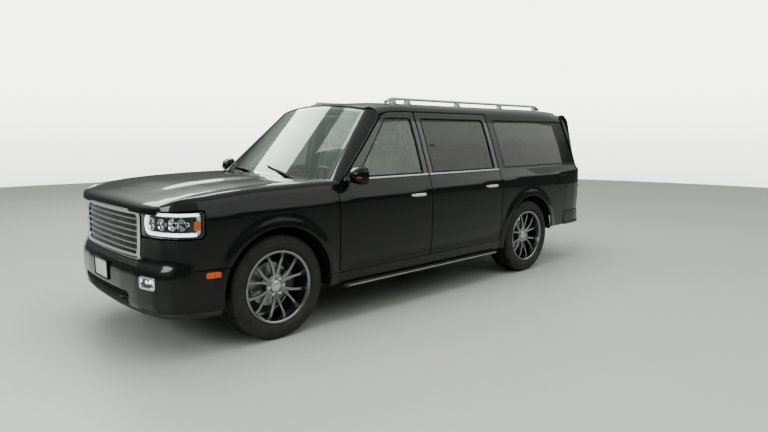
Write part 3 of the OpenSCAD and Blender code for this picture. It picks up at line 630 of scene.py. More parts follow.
_edge = hood_skin(np.linspace(0, float(_len[-1]), 400), HOOD_HALF)
_keep = np.concatenate([[True], np.diff(np.maximum.accumulate(_edge[:, 0])) > 0])


def hood_edge(x):
    """Height of the hood's side edge at x."""
    return np.interp(x, _edge[_keep, 0], _edge[_keep, 2])


def shoulder_start(x):
    return hood_top(x) - 0.105 + 0.062 * ease((x - 2.40) / 0.30)


def shoulder(u, w):
    """Fender top: from the flank (w 0) over to the hood line (w 1)."""
    u, w = pair(u, w)
    x, _, nx, ny = plan_way(plan, u)
    start = shoulder_start(x)
    a = side_skin(u, start)
    up = unit(a - side_skin(u, start - 0.02))
    reach = np.clip((a[..., 1] - HOOD_HALF) / np.maximum(ny, 0.2), 0.006, 0.5)
    bx = a[..., 0] - nx * reach
    b = np.stack([bx, a[..., 1] - ny * reach, hood_edge(bx)], axis=-1)
    size = np.linalg.norm(b - a, axis=-1)[..., None]
    inwards = np.stack([-nx, -ny, np.full_like(nx, 0.10)], axis=-1)
    w = w[..., None]
    c1, c2 = a + up * 0.52 * size, b - unit(inwards) * 0.52 * size
    return a * (1 - w) ** 3 + 3 * c1 * w * (1 - w) ** 2 + 3 * c2 * w * w * (1 - w) + b * w ** 3


def fender_skin(u, v):
    """The flank up to the shoulder, then v - start runs over the shoulder at 0.2 m for w 0 to 1."""
    x, _ = plan(u)
    start = shoulder_start(x)
    w = np.clip((v - start) / 0.2, 0, 1.03)
    flat = side_skin(u, np.minimum(v, start))
    return np.where((v > start)[..., None], shoulder(u, w), flat)


def fender_top(x):
    return float(shoulder_start(x)) + 0.2


# windscreen: y across, t up the glass from the belt
RAKE = math.radians(48)
SCREEN_X, SCREEN_R = 1.48, 3.2
SCREEN_TOP = (ROOF - 0.032 - BELT) / math.cos(RAKE)


def screen_foot(y, off=0.0):
    """Place ahead and height of the glass at the belt, off in front of its face."""
    sag = np.sqrt(SCREEN_R ** 2 - y ** 2) - SCREEN_R + off
    return SCREEN_X + sag * math.cos(RAKE), BELT + sag * math.sin(RAKE)


def screen(y, t, off=0.0):
    y, t = pair(y, t)
    x, z = screen_foot(y, off)
    return np.stack([x - t * math.sin(RAKE), y, z + t * math.cos(RAKE)], axis=-1)


screen_half = soft([(-0.26, 0.898), (0.12, 0.888), (SCREEN_TOP, 0.662)], 0.02)


def roof_front(y):
    return screen(y, SCREEN_TOP)


def roof_skin(x, y):
    """Roof between the cant rails."""
    x, y = pair(x, y)
    edge = roof_front(np.clip(y, -0.7, 0.7))
    fall = ROOF - 0.0245 * (np.abs(y) / 0.64) ** 2.6
    need = fall - edge[..., 2] - 0.004
    f = need * np.clip((x - edge[..., 0] + 0.50) / 0.50, 0, 1.1) ** 2.2
    return np.stack([x, y, fall - f - rear_fall(x)], axis=-1)


# bumpers, each with a plan of its own
NOSE_PLAN = [(1.88, 1.020), (2.20, 1.020), (2.40, 1.014), (2.58, 0.985), (2.70, 0.915),
             (2.775, 0.80), (2.825, 0.60), (2.85, 0.36), (2.858, 0.18), (2.86, 0)]
TAIL_PLAN = [(-2.86, 0), (-2.86, 0.30), (-2.845, 0.55), (-2.80, 0.80), (-2.74, 0.915),
             (-2.64, 0.985), (-2.50, 1.012), (-2.30, 1.020), (-2.10, 1.020)]


def half_plan(rows, blur, nose):
    """Points round a bumper's left half by length, and the lengths at which x or y is passed."""
    rows = np.array(rows, float)
    if nose:
        full = np.concatenate([rows, rows[-2:-4:-1] * [1, -1]])
    else:
        full = np.concatenate([rows[2:0:-1] * [1, -1], rows])
    length = np.concatenate([[0], np.cumsum(np.linalg.norm(np.diff(full, axis=0), axis=1))])
    table = soft(np.column_stack([length, full]), blur)
    u = np.linspace(-0.1, length[-1] + 0.1, 1500)
    x, y = table(u)

    def at(v):
        return np.interp(v, u, x), np.interp(v, u, y)

    def find(x0=None, y0=None):
        across = x0 is None
        good = (x > 2.3 if nose else x < -2.3) if across else y > 0.1
        along = (y if across else x)[good]
        order = np.argsort(along)
        return float(np.interp(y0 if across else x0, along[order], u[good][order]))

    return at, find


nose, nose_at = half_plan(NOSE_PLAN, 0.03, True)
tail, tail_at = half_plan(TAIL_PLAN, 0.03, False)
nose_lean = soft([(0.29, 0.075), (0.33, 0.030), (0.39, 0.004), (0.50, 0.0), (0.60, 0.002),
                  (0.65, 0.022), (0.70, 0.052), (0.80, 0.060), (0.88, 0.062), (1.06, 0.066)], 0.014)
nose_side = soft([(0.29, 0.045), (0.36, 0.014), (0.46, 0.0), (0.60, 0.0), (0.66, 0.002),
                  (1.06, 0.002)], 0.02)
tail_lean = soft([(0.29, 0.070), (0.34, 0.024), (0.40, 0.002), (0.58, 0.0), (0.61, 0.010),
                  (0.635, 0.040), (0.66, 0.075)], 0.008)


def bumper_skin(curve, lean, u, z):
    u, z = pair(u, z)
    x, y, nx, ny = plan_way(curve, u)
    side = nose_side(z) - flare(x, z) * 0.9
    return np.stack([x - np.sign(nx) * np.abs(nx) * lean(z), y - ny * side, z], axis=-1)


# ---- finishes ----
class Nodes:
    """Short way to place and join shader nodes in one tree."""

    def __init__(self, tree):
        self.tree = tree

    def add(self, kind, inputs=None, **settings):
        node = self.tree.nodes.new(kind)
        for key, value in settings.items():
            setattr(node, key, value)
        for key, value in (inputs or {}).items():
            if isinstance(value, bpy.types.NodeSocket):
                self.tree.links.new(value, node.inputs[key])
            else:
                node.inputs[key].default_value = value
        return node

    def place(self):
        return self.add("ShaderNodeTexCoord").outputs["Object"]

    def noise(self, vector, scale, detail=2.0, rough=0.5, out="Fac"):
        node = self.add("ShaderNodeTexNoise", {"Vector": vector, "Scale": scale, "Detail": detail,
                                               "Roughness": rough})
        return node.outputs[out]

    def stretched(self, vector, x, y, z):
        node = self.add("ShaderNodeVectorMath", {0: vector, 1: (x, y, z)}, operation="MULTIPLY")
        return node.outputs[0]

    def sums(self, kind, a, b=0.0, clamp=False):
        return self.add("ShaderNodeMath", {0: a, 1: b}, operation=kind, use_clamp=clamp).outputs[0]

    def span(self, value, low_, high_, to_low=0.0, to_high=1.0):
        node = self.add("ShaderNodeMapRange", {"Value": value, "From Min": low_, "From Max": high_,
                                               "To Min": to_low, "To Max": to_high})
        return node.outputs[0]

    def mix(self, amount, a, b):
        node = self.add("ShaderNodeMix", {0: amount}, data_type="RGBA")
        for index, value in ((6, a), (7, b)):
            if isinstance(value, bpy.types.NodeSocket):
                self.tree.links.new(value, node.inputs[index])
            else:
                node.inputs[index].default_value = value
        return node.outputs[2]

    def bump(self, height, strength, size):
        return self.add("ShaderNodeBump", {"Height": height, "Strength": strength,
                                           "Distance": size}).outputs["Normal"]


def effect(name, inputs, outputs, build):
    """A node group shared by several finishes."""
    tree = bpy.data.node_groups.new(name, "ShaderNodeTree")
    for label, kind, default in inputs:
        socket = tree.interface.new_socket(label, in_out="INPUT", socket_type=kind)
        socket.default_value = default
    for label, kind in outputs:
        tree.interface.new_socket(label, in_out="OUTPUT", socket_type=kind)
    n = Nodes(tree)
    start, end = n.add("NodeGroupInput"), n.add("NodeGroupOutput")
    for label, socket in build(n, start.outputs).items():
        tree.links.new(socket, end.inputs[label])
    return tree


def build_dust(n, given):
    """Road dust: thicker low down and in soft patches."""
    place = n.place()
    height = n.add("ShaderNodeSeparateXYZ", {0: place}).outputs["Z"]
    low_down = n.span(height, 0.95, 0.15)
    patches = n.noise(place, given["Scale"], 4.0, 0.6)
    specks = n.noise(place, 160.0, 2.0, 0.5)
    mask = n.sums("MULTIPLY", n.sums("ADD", low_down, 0.22), n.span(patches, 0.35, 0.75))
    mask = n.sums("MULTIPLY", mask, n.span(specks, 0.25, 0.7, 0.55, 1.0))
    return {"Mask": n.sums("MULTIPLY", mask, given["Amount"], True)}


def build_grain(n, given):
    """Moulded or tanned grain as a normal."""
    place = n.place()
    cells = n.add("ShaderNodeTexVoronoi", {"Vector": place, "Scale": given["Scale"],
                                           "Randomness": 1.0},
                  feature="SMOOTH_F1").outputs["Distance"]
    pores = n.noise(place, 900.0, 2.0, 0.6)
    height = n.sums("ADD", n.sums("MULTIPLY", cells, 0.8), n.sums("MULTIPLY", pores, 0.2))
    node = n.add("ShaderNodeBump", {"Height": height, "Strength": given["Strength"],
                                    "Distance": 0.0006})
    return {"Normal": node.outputs["Normal"], "Height": height}


def build_flow(n, given):
    """Slight waviness of sprayed or moulded surfaces."""
    place = n.place()
    fine = n.noise(place, given["Scale"], 1.0, 0.4)
    node = n.add("ShaderNodeBump", {"Height": fine, "Strength": given["Strength"],
                                    "Distance": 0.0004})
    return {"Normal": node.outputs["Normal"]}


def build_cast(n, given):
    """Mottled tone and rough skin of cast, forged or brush-painted metal."""
    place = n.place()
    broad = n.noise(place, n.sums("MULTIPLY", given["Scale"], 0.12), 3.0, 0.6)
    fine = n.noise(place, given["Scale"], 4.0, 0.65)
    node = n.add("ShaderNodeBump", {"Height": fine, "Strength": given["Strength"],
                                    "Distance": 0.0008})
    return {"Tone": n.span(broad, 0.25, 0.75), "Fine": fine, "Normal": node.outputs["Normal"]}


def build_weave(n, given):
    """Looped pile of carpet and headlining."""
    place = n.place()
    loops = n.add("ShaderNodeTexVoronoi", {"Vector": place,
                                           "Scale": given["Scale"]}).outputs["Distance"]
    tufts = n.noise(place, n.sums("MULTIPLY", given["Scale"], 0.25), 3.0, 0.7)
    height = n.sums("MULTIPLY", n.sums("ADD", loops, tufts), 0.5)
    node = n.add("ShaderNodeBump", {"Height": height, "Strength": given["Strength"],
                                    "Distance": 0.0025})
    return {"Tone": tufts, "Normal": node.outputs["Normal"]}


F = "NodeSocketFloat"
V = "NodeSocketVector"
EFFECTS = {"Road dust": ([("Amount", F, 0.3), ("Scale", F, 6.0)], [("Mask", F)], build_dust),
           "Grain": ([("Scale", F, 420.0), ("Strength", F, 0.4)], [("Normal", V), ("Height", F)],
                     build_grain), "Surface flow": ([("Scale", F, 70.0), ("Strength", F, 0.05)],
                                                    [("Normal", V)], build_flow),
           "Cast skin": ([("Scale", F, 160.0), ("Strength", F, 0.4)], [("Tone", F), ("Fine", F),
        ("Normal", V)], build_cast), "Pile": ([("Scale", F, 500.0), ("Strength", F, 0.8)],
                                              [("Tone", F), ("Normal", V)], build_weave),}
FINISH = {}


def use(n, name, **values):
    node = n.add("ShaderNodeGroup")
    node.node_tree = bpy.data.node_groups.get(name) or effect(name, *EFFECTS[name])
    for key, value in values.items():
        node.inputs[key].default_value = value
    return node.outputs


def finish(name, fixed=None, build=None, see_through=None):
    """One material; fixed are shader constants, build returns what is linked into it."""
    if name in FINISH:
        return FINISH[name]
    mat = bpy.data.materials.new(name)
    mat.use_nodes = True
    n = Nodes(mat.node_tree)
    shader = mat.node_tree.nodes["Principled BSDF"]
    for key, value in (fixed or {}).items():
        shader.inputs[key].default_value = value
    for key, socket in (build(n) if build else {}).items():
        mat.node_tree.links.new(socket, shader.inputs[key])
    if see_through:
        clear = n.add("ShaderNodeBsdfTransparent", {"Color": see_through})
        path = n.add("ShaderNodeLightPath")
        both = n.sums("MAXIMUM", path.outputs["Is Shadow Ray"], path.outputs["Is Diffuse Ray"])
        blend = n.add("ShaderNodeMixShader", {0: both, 1: shader.outputs[0], 2: clear.outputs[0]})
        mat.node_tree.links.new(blend.outputs[0],
                                mat.node_tree.nodes["Material Output"].inputs["Surface"])
    FINISH[name] = mat
    return mat


def rgb(r, g, b):
    return (r, g, b, 1.0)


DUST = rgb(0.16, 0.145, 0.125)


def paint():
    def build(n):
        place = n.place()
        flake = n.add("ShaderNodeTexVoronoi", {"Vector": place, "Scale": 1500.0}).outputs["Color"]
        spark = n.span(n.add("ShaderNodeSeparateXYZ", {0: flake}).outputs["X"], 0.86, 1.0)
        dust = use(n, "Road dust", Amount=bpy.context.scene.suv.dust, Scale=5.0)["Mask"]
        tone = n.mix(n.sums("MULTIPLY", spark, 0.35), rgb(*bpy.context.scene.suv.paint_colour),
                     rgb(0.05, 0.055, 0.065))
        return {"Base Color": n.mix(n.sums("MULTIPLY", dust, 0.5), tone, DUST),
                "Roughness": n.span(dust, 0.0, 1.0, 0.28, 0.60),
                "Coat Weight": n.span(dust, 0.0, 0.9, 1.0, 0.45),
                "Normal": use(n, "Surface flow", Scale=85.0, Strength=0.05)["Normal"]}
    return finish("black clear coat paint", {"Metallic": 0.0, "Specular IOR Level": 0.10,
                                             "Coat Roughness": 0.02, "Coat IOR": 1.38}, build)


def inner_paint():
    def build(n):
        cast = use(n, "Cast skin", Scale=90.0, Strength=0.12)
        dust = use(n, "Road dust", Amount=0.25, Scale=8.0)["Mask"]
        return {"Base Color": n.mix(dust, rgb(0.011, 0.011, 0.012), DUST),
                "Roughness": n.span(cast["Tone"], 0, 1, 0.36, 0.5), "Normal": cast["Normal"]}
    return finish("black inner paint", {"Coat Weight": 0.25, "Coat Roughness": 0.2}, build)


def glass(name="green tinted glass", colour=(0.80, 0.93, 0.87), through=(0.72, 0.84, 0.78)):
    def build(n):
        film = n.span(n.noise(n.place(), 9.0, 5.0, 0.6), 0.5, 0.9, 0.0, 0.5)
        return {"Base Color": n.mix(film, rgb(*colour), rgb(*(0.86 * c for c in colour)))}
    return finish(name, {"Transmission Weight": 1.0, "IOR": 1.50, "Roughness": 0.0}, build,
                  rgb(*through))


def privacy_glass():
    return glass("dark privacy glass", (0.26, 0.265, 0.235), (0.30, 0.31, 0.28))


def lens():
    def build(n):
        return {"Roughness": n.span(n.noise(n.place(), 14.0, 4.0, 0.6), 0.4, 0.9, 0.0, 0.05)}
    return finish("clear lamp lens", {"Base Color": rgb(0.96, 0.98, 0.98),
                                      "Transmission Weight": 1.0, "IOR": 1.46}, build,
                  rgb(0.93, 0.95, 0.95))


def coloured_lens(name, colour):
    def build(n):
        place = n.place()
        ribs = n.add("ShaderNodeTexWave", {"Vector": place, "Scale": 55.0, "Distortion": 0.0},
                     bands_direction="Y").outputs["Fac"]
        tone = n.mix(n.span(ribs, 0, 1, 0.0, 0.35), rgb(*colour), rgb(*(0.4 * c for c in colour)))
        return {"Base Color": tone, "Normal": n.bump(ribs, 0.25, 0.0008),
                "Roughness": n.span(n.noise(place, 20.0, 3.0, 0.6), 0.3, 0.8, 0.06, 0.14)}
    return finish(name, {"Coat Weight": 1.0, "Coat Roughness": 0.02, "Subsurface Weight": 0.0},
                  build)


def amber_lens():
    return coloured_lens("amber lens", (0.66, 0.095, 0.006))


def red_lens():
    return coloured_lens("red lens", (0.20, 0.004, 0.004))


def chrome():
    def build(n):
        place = n.place()
        haze = n.noise(place, 22.0, 4.0, 0.6)
        dust = use(n, "Road dust", Amount=0.3, Scale=7.0)["Mask"]
        return {"Base Color": n.mix(dust, rgb(0.80, 0.815, 0.83), DUST), "Roughness": n.span(haze,
                0.3, 0.8, 0.05, 0.13), "Normal": use(n, "Surface flow", Scale=45.0,
                                                     Strength=0.04)["Normal"]}
    return finish("bright plated trim", {"Metallic": 1.0}, build)


def satin_metal():
    def build(n):
        streak = n.noise(n.stretched(n.place(), 6.0, 400.0, 400.0), 1.0, 3.0, 0.6)
        return {"Base Color": n.mix(n.span(streak, 0.3, 0.7, 0.0, 0.25), rgb(0.56, 0.57, 0.58),
                                    rgb(0.36, 0.37, 0.38)), "Roughness": n.span(streak, 0.2, 0.8,
                0.24, 0.36)}
    return finish("satin metal trim", {"Metallic": 1.0}, build)


def alloy():
    def build(n):
        place = n.place()
        lines = n.noise(n.stretched(place, 1.0, 0.2, 1.0), 320.0, 2.0, 0.5)
        dust = use(n, "Road dust", Amount=0.22, Scale=16.0)["Mask"]
        tone = n.mix(n.span(lines, 0.35, 0.65, 0.0, 0.2), rgb(0.25, 0.255, 0.26), rgb(0.18, 0.185,
                0.19))
        return {"Base Color": n.mix(n.sums("MULTIPLY", dust, 0.6), tone, rgb(0.16, 0.15, 0.14)),
                "Roughness": n.span(lines, 0.3, 0.7, 0.20, 0.30), "Normal": use(n, "Surface flow",
                Scale=120.0, Strength=0.05)["Normal"]}
    return finish("machined alloy", {"Metallic": 1.0, "Coat Weight": 0.5, "Coat Roughness": 0.06},
                  build)


def dark_alloy():
    def build(n):
        cast = use(n, "Cast skin", Scale=140.0, Strength=0.1)
        return {"Base Color": n.mix(cast["Tone"], rgb(0.16, 0.165, 0.17), rgb(0.24, 0.245, 0.25)),
                "Roughness": n.span(cast["Fine"], 0.2, 0.8, 0.34, 0.48), "Normal": cast["Normal"]}
    return finish("painted alloy recess", {"Metallic": 0.8}, build)


def rubber():
    tone = 0.018

    def build(n):
        place = n.place()
        dust = use(n, "Road dust", Amount=0.55, Scale=11.0)["Mask"]
        wear = n.noise(place, 28.0, 5.0, 0.65)
        base = n.mix(n.span(wear, 0.3, 0.75), rgb(tone, tone, tone), rgb(2 * tone, 1.95 * tone,
                1.9 * tone))
        return {"Base Color": n.mix(n.sums("MULTIPLY", dust, 0.6), base, rgb(0.11, 0.10, 0.088)),
                "Roughness": n.span(wear, 0.2, 0.8, 0.55, 0.82),
                "Normal": use(n, "Grain", Scale=600.0, Strength=0.25)["Normal"]}
    return finish("tyre rubber", {"Specular IOR Level": 0.35}, build)


def seal():
    def build(n):
        return {"Base Color": n.mix(n.noise(n.place(), 40.0, 3.0), rgb(0.010, 0.010, 0.010),
                                    rgb(0.022, 0.022, 0.022)), "Normal": use(n, "Grain",
                Scale=900.0, Strength=0.15)["Normal"]}
    return finish("seal rubber", {"Roughness": 0.62, "Specular IOR Level": 0.35}, build)


def plastic(name="grained black plastic", tone=0.018, rough=0.52, strength=0.55, scale=520.0):
    def build(n):
        place = n.place()
        dust = use(n, "Road dust", Amount=0.3, Scale=9.0)["Mask"]
        fade = n.noise(place, 3.5, 4.0, 0.6)
        base = n.mix(fade, rgb(tone, tone, tone * 1.04), rgb(tone * 1.7, tone * 1.7, tone * 1.75))
        return {"Base Color": n.mix(n.sums("MULTIPLY", dust, 0.6), base, DUST),
                "Roughness": n.span(fade, 0.2, 0.8, rough - 0.06, rough + 0.08),
                "Normal": use(n, "Grain", Scale=scale, Strength=strength)["Normal"]}
    return finish(name, {}, build)


def gloss_black():
    def build(n):
        return {"Base Color": n.mix(n.noise(n.place(), 5.0, 3.0), rgb(0.008, 0.008, 0.009),
                                    rgb(0.014, 0.014, 0.015)),
                "Roughness": n.span(n.noise(n.place(), 18.0, 4.0, 0.6), 0.3, 0.8, 0.06, 0.16)}
    return finish("gloss black moulding", {"Coat Weight": 0.6, "Coat Roughness": 0.04}, build)


def trim_plastic(name, colour):
    def build(n):
        fade = n.noise(n.place(), 4.0, 3.0, 0.6)
        dark = rgb(*(0.8 * c for c in colour))
        return {"Base Color": n.mix(fade, rgb(*colour), dark), "Roughness": n.span(fade, 0.2, 0.8,
                0.45, 0.57), "Normal": use(n, "Grain", Scale=480.0, Strength=0.4)["Normal"]}
    return finish(name, {}, build)


def cabin_trim():
    return trim_plastic("cabin trim", (0.035, 0.034, 0.033))


def dash_plastic():
    return trim_plastic("dash plastic", (0.026, 0.026, 0.027))


def seat_plastic():
    return trim_plastic("seat shell plastic", (0.03, 0.029, 0.028))


def leather(name="grained seat leather", colour=(0.045, 0.042, 0.040)):
    def build(n):
        place = n.place()
        rubbed = n.noise(place, 7.0, 4.0, 0.6)
        tone = n.mix(n.span(rubbed, 0.3, 0.8), rgb(*colour), rgb(*(1.6 * c for c in colour)))
        return {"Base Color": tone, "Roughness": n.span(rubbed, 0.25, 0.8, 0.50, 0.34),
                "Normal": use(n, "Grain", Scale=300.0, Strength=0.5)["Normal"]}
    return finish(name, {"Sheen Weight": 0.08, "Specular IOR Level": 0.45}, build)


def pile(name, colour, scale=420.0, strength=0.8):
    def build(n):
        got = use(n, "Pile", Scale=scale, Strength=strength)
        return {"Base Color": n.mix(got["Tone"], rgb(*(0.6 * c for c in colour)),
                                    rgb(*(1.3 * c for c in colour))), "Normal": got["Normal"]}
    return finish(name, {"Roughness": 0.95, "Sheen Weight": 0.3}, build)


def chassis():
    def build(n):
        cast = use(n, "Cast skin", Scale=120.0, Strength=0.5)
        dust = use(n, "Road dust", Amount=0.55, Scale=7.0)["Mask"]
        rust = n.span(n.noise(n.place(), 14.0, 6.0, 0.7), 0.66, 0.80)
        base = n.mix(cast["Tone"], rgb(0.022, 0.022, 0.023), rgb(0.042, 0.042, 0.043))
        base = n.mix(n.sums("MULTIPLY", rust, 0.5), base, rgb(0.10, 0.045, 0.02))
        return {"Base Color": n.mix(n.sums("MULTIPLY", dust, 0.6), base, DUST),
                "Roughness": n.span(cast["Fine"], 0.2, 0.8, 0.42, 0.68), "Normal": cast["Normal"]}
    return finish("satin chassis paint", {"Metallic": 0.1}, build)


def cast_metal(name, colour, rough):
    def build(n):
        cast = use(n, "Cast skin", Scale=210.0, Strength=0.45)
        grime = n.span(n.noise(n.place(), 6.0, 5.0, 0.65), 0.45, 0.75)
        base = n.mix(cast["Tone"], rgb(*colour), rgb(*(0.65 * c for c in colour)))
        return {"Base Color": n.mix(n.sums("MULTIPLY", grime, 0.55), base, rgb(0.05, 0.045, 0.04)),
                "Roughness": n.span(cast["Fine"], 0.2, 0.8, rough, rough + 0.2),
                "Normal": cast["Normal"]}
    return finish(name, {"Metallic": 0.9}, build)


def brake_steel():
    def build(n):
        place = n.place()
        rings = n.noise(n.stretched(place, 1.0, 0.1, 1.0), 260.0, 3.0, 0.6)
        rust = n.span(n.noise(place, 22.0, 5.0, 0.7), 0.55, 0.72)
        base = n.mix(rings, rgb(0.30, 0.30, 0.30), rgb(0.44, 0.44, 0.44))
        return {"Base Color": n.mix(n.sums("MULTIPLY", rust, 0.5), base, rgb(0.12, 0.06, 0.03)),
                "Roughness": n.span(rings, 0.2, 0.8, 0.25, 0.45)}
    return finish("brake disc steel", {"Metallic": 0.95}, build)


def reflector():
    def build(n):
        return {"Roughness": n.span(n.noise(n.place(), 30.0, 3.0), 0.3, 0.8, 0.05, 0.14),
                "Base Color": n.mix(n.noise(n.place(), 6.0), rgb(0.90, 0.91, 0.92), rgb(0.78, 0.79,
                0.80))}
    return finish("lamp reflector", {"Metallic": 1.0}, build)


def light_bar():
    colour = (0.93, 0.96, 1.0)

    def build(n):
        cells = n.add("ShaderNodeTexVoronoi", {"Vector": n.place(),
                                               "Scale": 90.0}).outputs["Distance"]
        return {"Emission Color": n.mix(n.span(cells, 0, 0.6, 0.0, 0.35), rgb(*colour),
                                        rgb(*(0.7 * c for c in colour))), "Base Color": n.mix(cells,
                rgb(*colour), rgb(*(0.85 * c for c in colour)))}
    return finish("lamp light guide", {"Roughness": 0.18, "Emission Strength": 1.6,
                                       "Coat Weight": 1.0}, build)


def blank_plate():
    def build(n):
        fade = n.noise(n.place(), 8.0, 4.0)
        return {"Base Color": n.mix(fade, rgb(0.62, 0.62, 0.60), rgb(0.54, 0.54, 0.52)),
                "Normal": use(n, "Surface flow", Scale=60.0, Strength=0.08)["Normal"]}
    return finish("blank plate", {"Roughness": 0.38}, build)


def mirror_glass():
    def build(n):
        return {"Roughness": n.span(n.noise(n.place(), 12.0, 3.0), 0.3, 0.9, 0.0, 0.03)}
    return finish("mirror glass", {"Metallic": 1.0, "Base Color": rgb(0.86, 0.88, 0.90)}, build)


def floor_finish():
    def build(n):
        place = n.place()
        cloud = n.noise(place, 0.6, 4.0, 0.6)
        specks = n.noise(place, 60.0, 3.0, 0.6)
        colour = bpy.context.scene.suv.floor_colour
        tone = n.mix(cloud, rgb(*colour), rgb(*(0.9 * c for c in colour)))
        return {"Base Color": tone, "Roughness": n.span(specks, 0.2, 0.8, 0.30, 0.44),
                "Normal": use(n, "Surface flow", Scale=30.0, Strength=0.1)["Normal"]}
    return finish("pale sealed floor", {}, build)


def wall_finish():
    def build(n):
        place = n.place()
        cloud = n.noise(place, 0.5, 4.0, 0.6)
        height = n.add("ShaderNodeSeparateXYZ", {0: place}).outputs["Z"]
        # Painted light: the wall glows by emission that stands in for the light on it, darker
        # towards the floor and brightest at the top.
        painted_wall_light = n.mix(n.span(height, 0.0, 3.2, 0.0, 1.0), rgb(0.50, 0.53, 0.50), rgb(0.98, 0.98,
                0.95))
        return {"Base Color": n.mix(cloud, rgb(0.30, 0.31, 0.30), rgb(0.28, 0.29, 0.28)),
                "Emission Color": painted_wall_light}
    return finish("backdrop with painted light", {"Roughness": 0.9, "Emission Strength": 3.0}, build)


# ---- outer panels ----
A_SLOPE = math.tan(RAKE)


def a_line(z):
    """Front edge of the door's window frame in side view."""
    return DOOR_FRONT - 0.072 - (z - BELT) * A_SLOPE


def arch_arc(centre, from_z, to_z, sign):
    """Side-view points over a wheel arch, from from_z on one side to to_z on the other."""
    t0 = math.asin((from_z - AXLE_Z) / ARCH)
    t1 = math.pi - math.asin((to_z - AXLE_Z) / ARCH)
    return [(centre + sign * ARCH * math.cos(t), AXLE_Z + ARCH * math.sin(t), 0.0)
            for t in np.linspace(t0, t1, 30)]


def sided(name, shape, bodies, mat, nodes=(), sharp=None, after=None):
    """The left piece as drawn and its mirror image; SIDE in a name becomes left or right."""
    for (side, sign), body in zip(SIDES, bodies):
        s = shape if sign > 0 else shape.mirrored()
        obj = s.object(name.replace("SIDE", side), sharp)
        if after:
            after(obj)
        stands = [n.replace("SIDE", side) for n in nodes if "SIDE" in n or sign > 0]
        dress(obj, body, mat, stands_for=stands)


BODY2 = ("body", "body")
GATE_HALF = 0.812


def doors_of(front):
    place = "front" if front else "rear"
    return (place + "_left_door", place + "_right_door")


def door_corners(front):
    """Side-view outlines of a door: skin below the belt, frame above it, window."""
    top, skin_top, frame_low = FRAME_TOP, BELT - 0.006, BELT - 0.004
    pane_low, pane_top = BELT + 0.018, FRAME_TOP - 0.055
    if front:
        x0, x1 = DOOR_SPLIT + GAP / 2, DOOR_FRONT
        bend = a_line(top - 0.03)
        skin = [(x0, DOOR_LOW, 0.02), (x1, DOOR_LOW, 0.045), (x1, 1.105, 0.10),
                (a_line(BELT) + 0.012, skin_top, 0.03), (x0, skin_top, 0.006)]
        upper = [(x0 + 0.004, frame_low, 0.0), (a_line(BELT) - 0.004, frame_low, 0.0),
                 (bend - 0.004, top - 0.03, 0.08), (bend - 0.07, top, 0.12), (x0 + 0.004, top,
                0.012)]
        window = [(x0 + 0.062, pane_low, 0.012), (a_line(BELT + 0.026) - 0.128, pane_low, 0.012),
                  (a_line(top - 0.06) - 0.062, pane_top, 0.07), (x0 + 0.062, pane_top, 0.03)]
    else:
        x0, x1 = DOOR_REAR + GAP / 2, DOOR_SPLIT - GAP / 2
        skin = [(x0, DOOR_LOW, 0.05), (x1, DOOR_LOW, 0.02), (x1, skin_top, 0.006), (x0, skin_top,
                0.02)]
        upper = [(x0 + 0.004, frame_low, 0.0), (x1 - 0.004, frame_low, 0.0), (x1 - 0.004, top,
                0.012), (x0 + 0.004, top, 0.03)]
        window = [(x0 + 0.068, pane_low, 0.012), (x1 - 0.062, pane_low, 0.012),
                  (x1 - 0.062, pane_top, 0.03), (x0 + 0.068, pane_top, 0.05)]
    return skin, upper, window


def side_loop(corners):
    return outline(along_side(corners), 0.015, 0.018)


def rear_u(y, v):
    """Where the skin at height v behind the rear axle passes y."""
    u = np.linspace(0.2, float(plan_x(-2.0)), 700)
    across = side_skin(u, v)[:, 1]
    order = np.argsort(across)
    return float(np.interp(y, across[order], u[order]))


def front_fenders():
    arc = arch_arc(FRONT_AXLE, DOOR_LOW - 0.004, 0.645, -1)
    front = [(2.552, 0.645, 0.012), (2.552, 0.864, 0.008), (2.464, 0.864, 0.035), (2.464, 1.064,
            0.016), (2.738, 1.064, 0.006)]
    tops = [(float(x), fender_top(x), 0.0) for x in np.linspace(2.738, 1.33, 48)]
    back_ = [(1.312, fender_top(1.312), 0.006), (1.262, 1.245, 0.02), (a_line(BELT) + 0.0195,
            BELT - 0.004, 0.03), (DOOR_FRONT + 0.0075, 1.108, 0.10), (DOOR_FRONT + 0.0075,
            DOOR_LOW - 0.004, 0.008)]
    shape = panel(fender_skin, side_loop(arc + front + tops + back_), grid=0.026, deep=0.016,
                  side=-1)
    sided("SIDE_front_fender", shape, BODY2, paint(), ("front_fenders",))


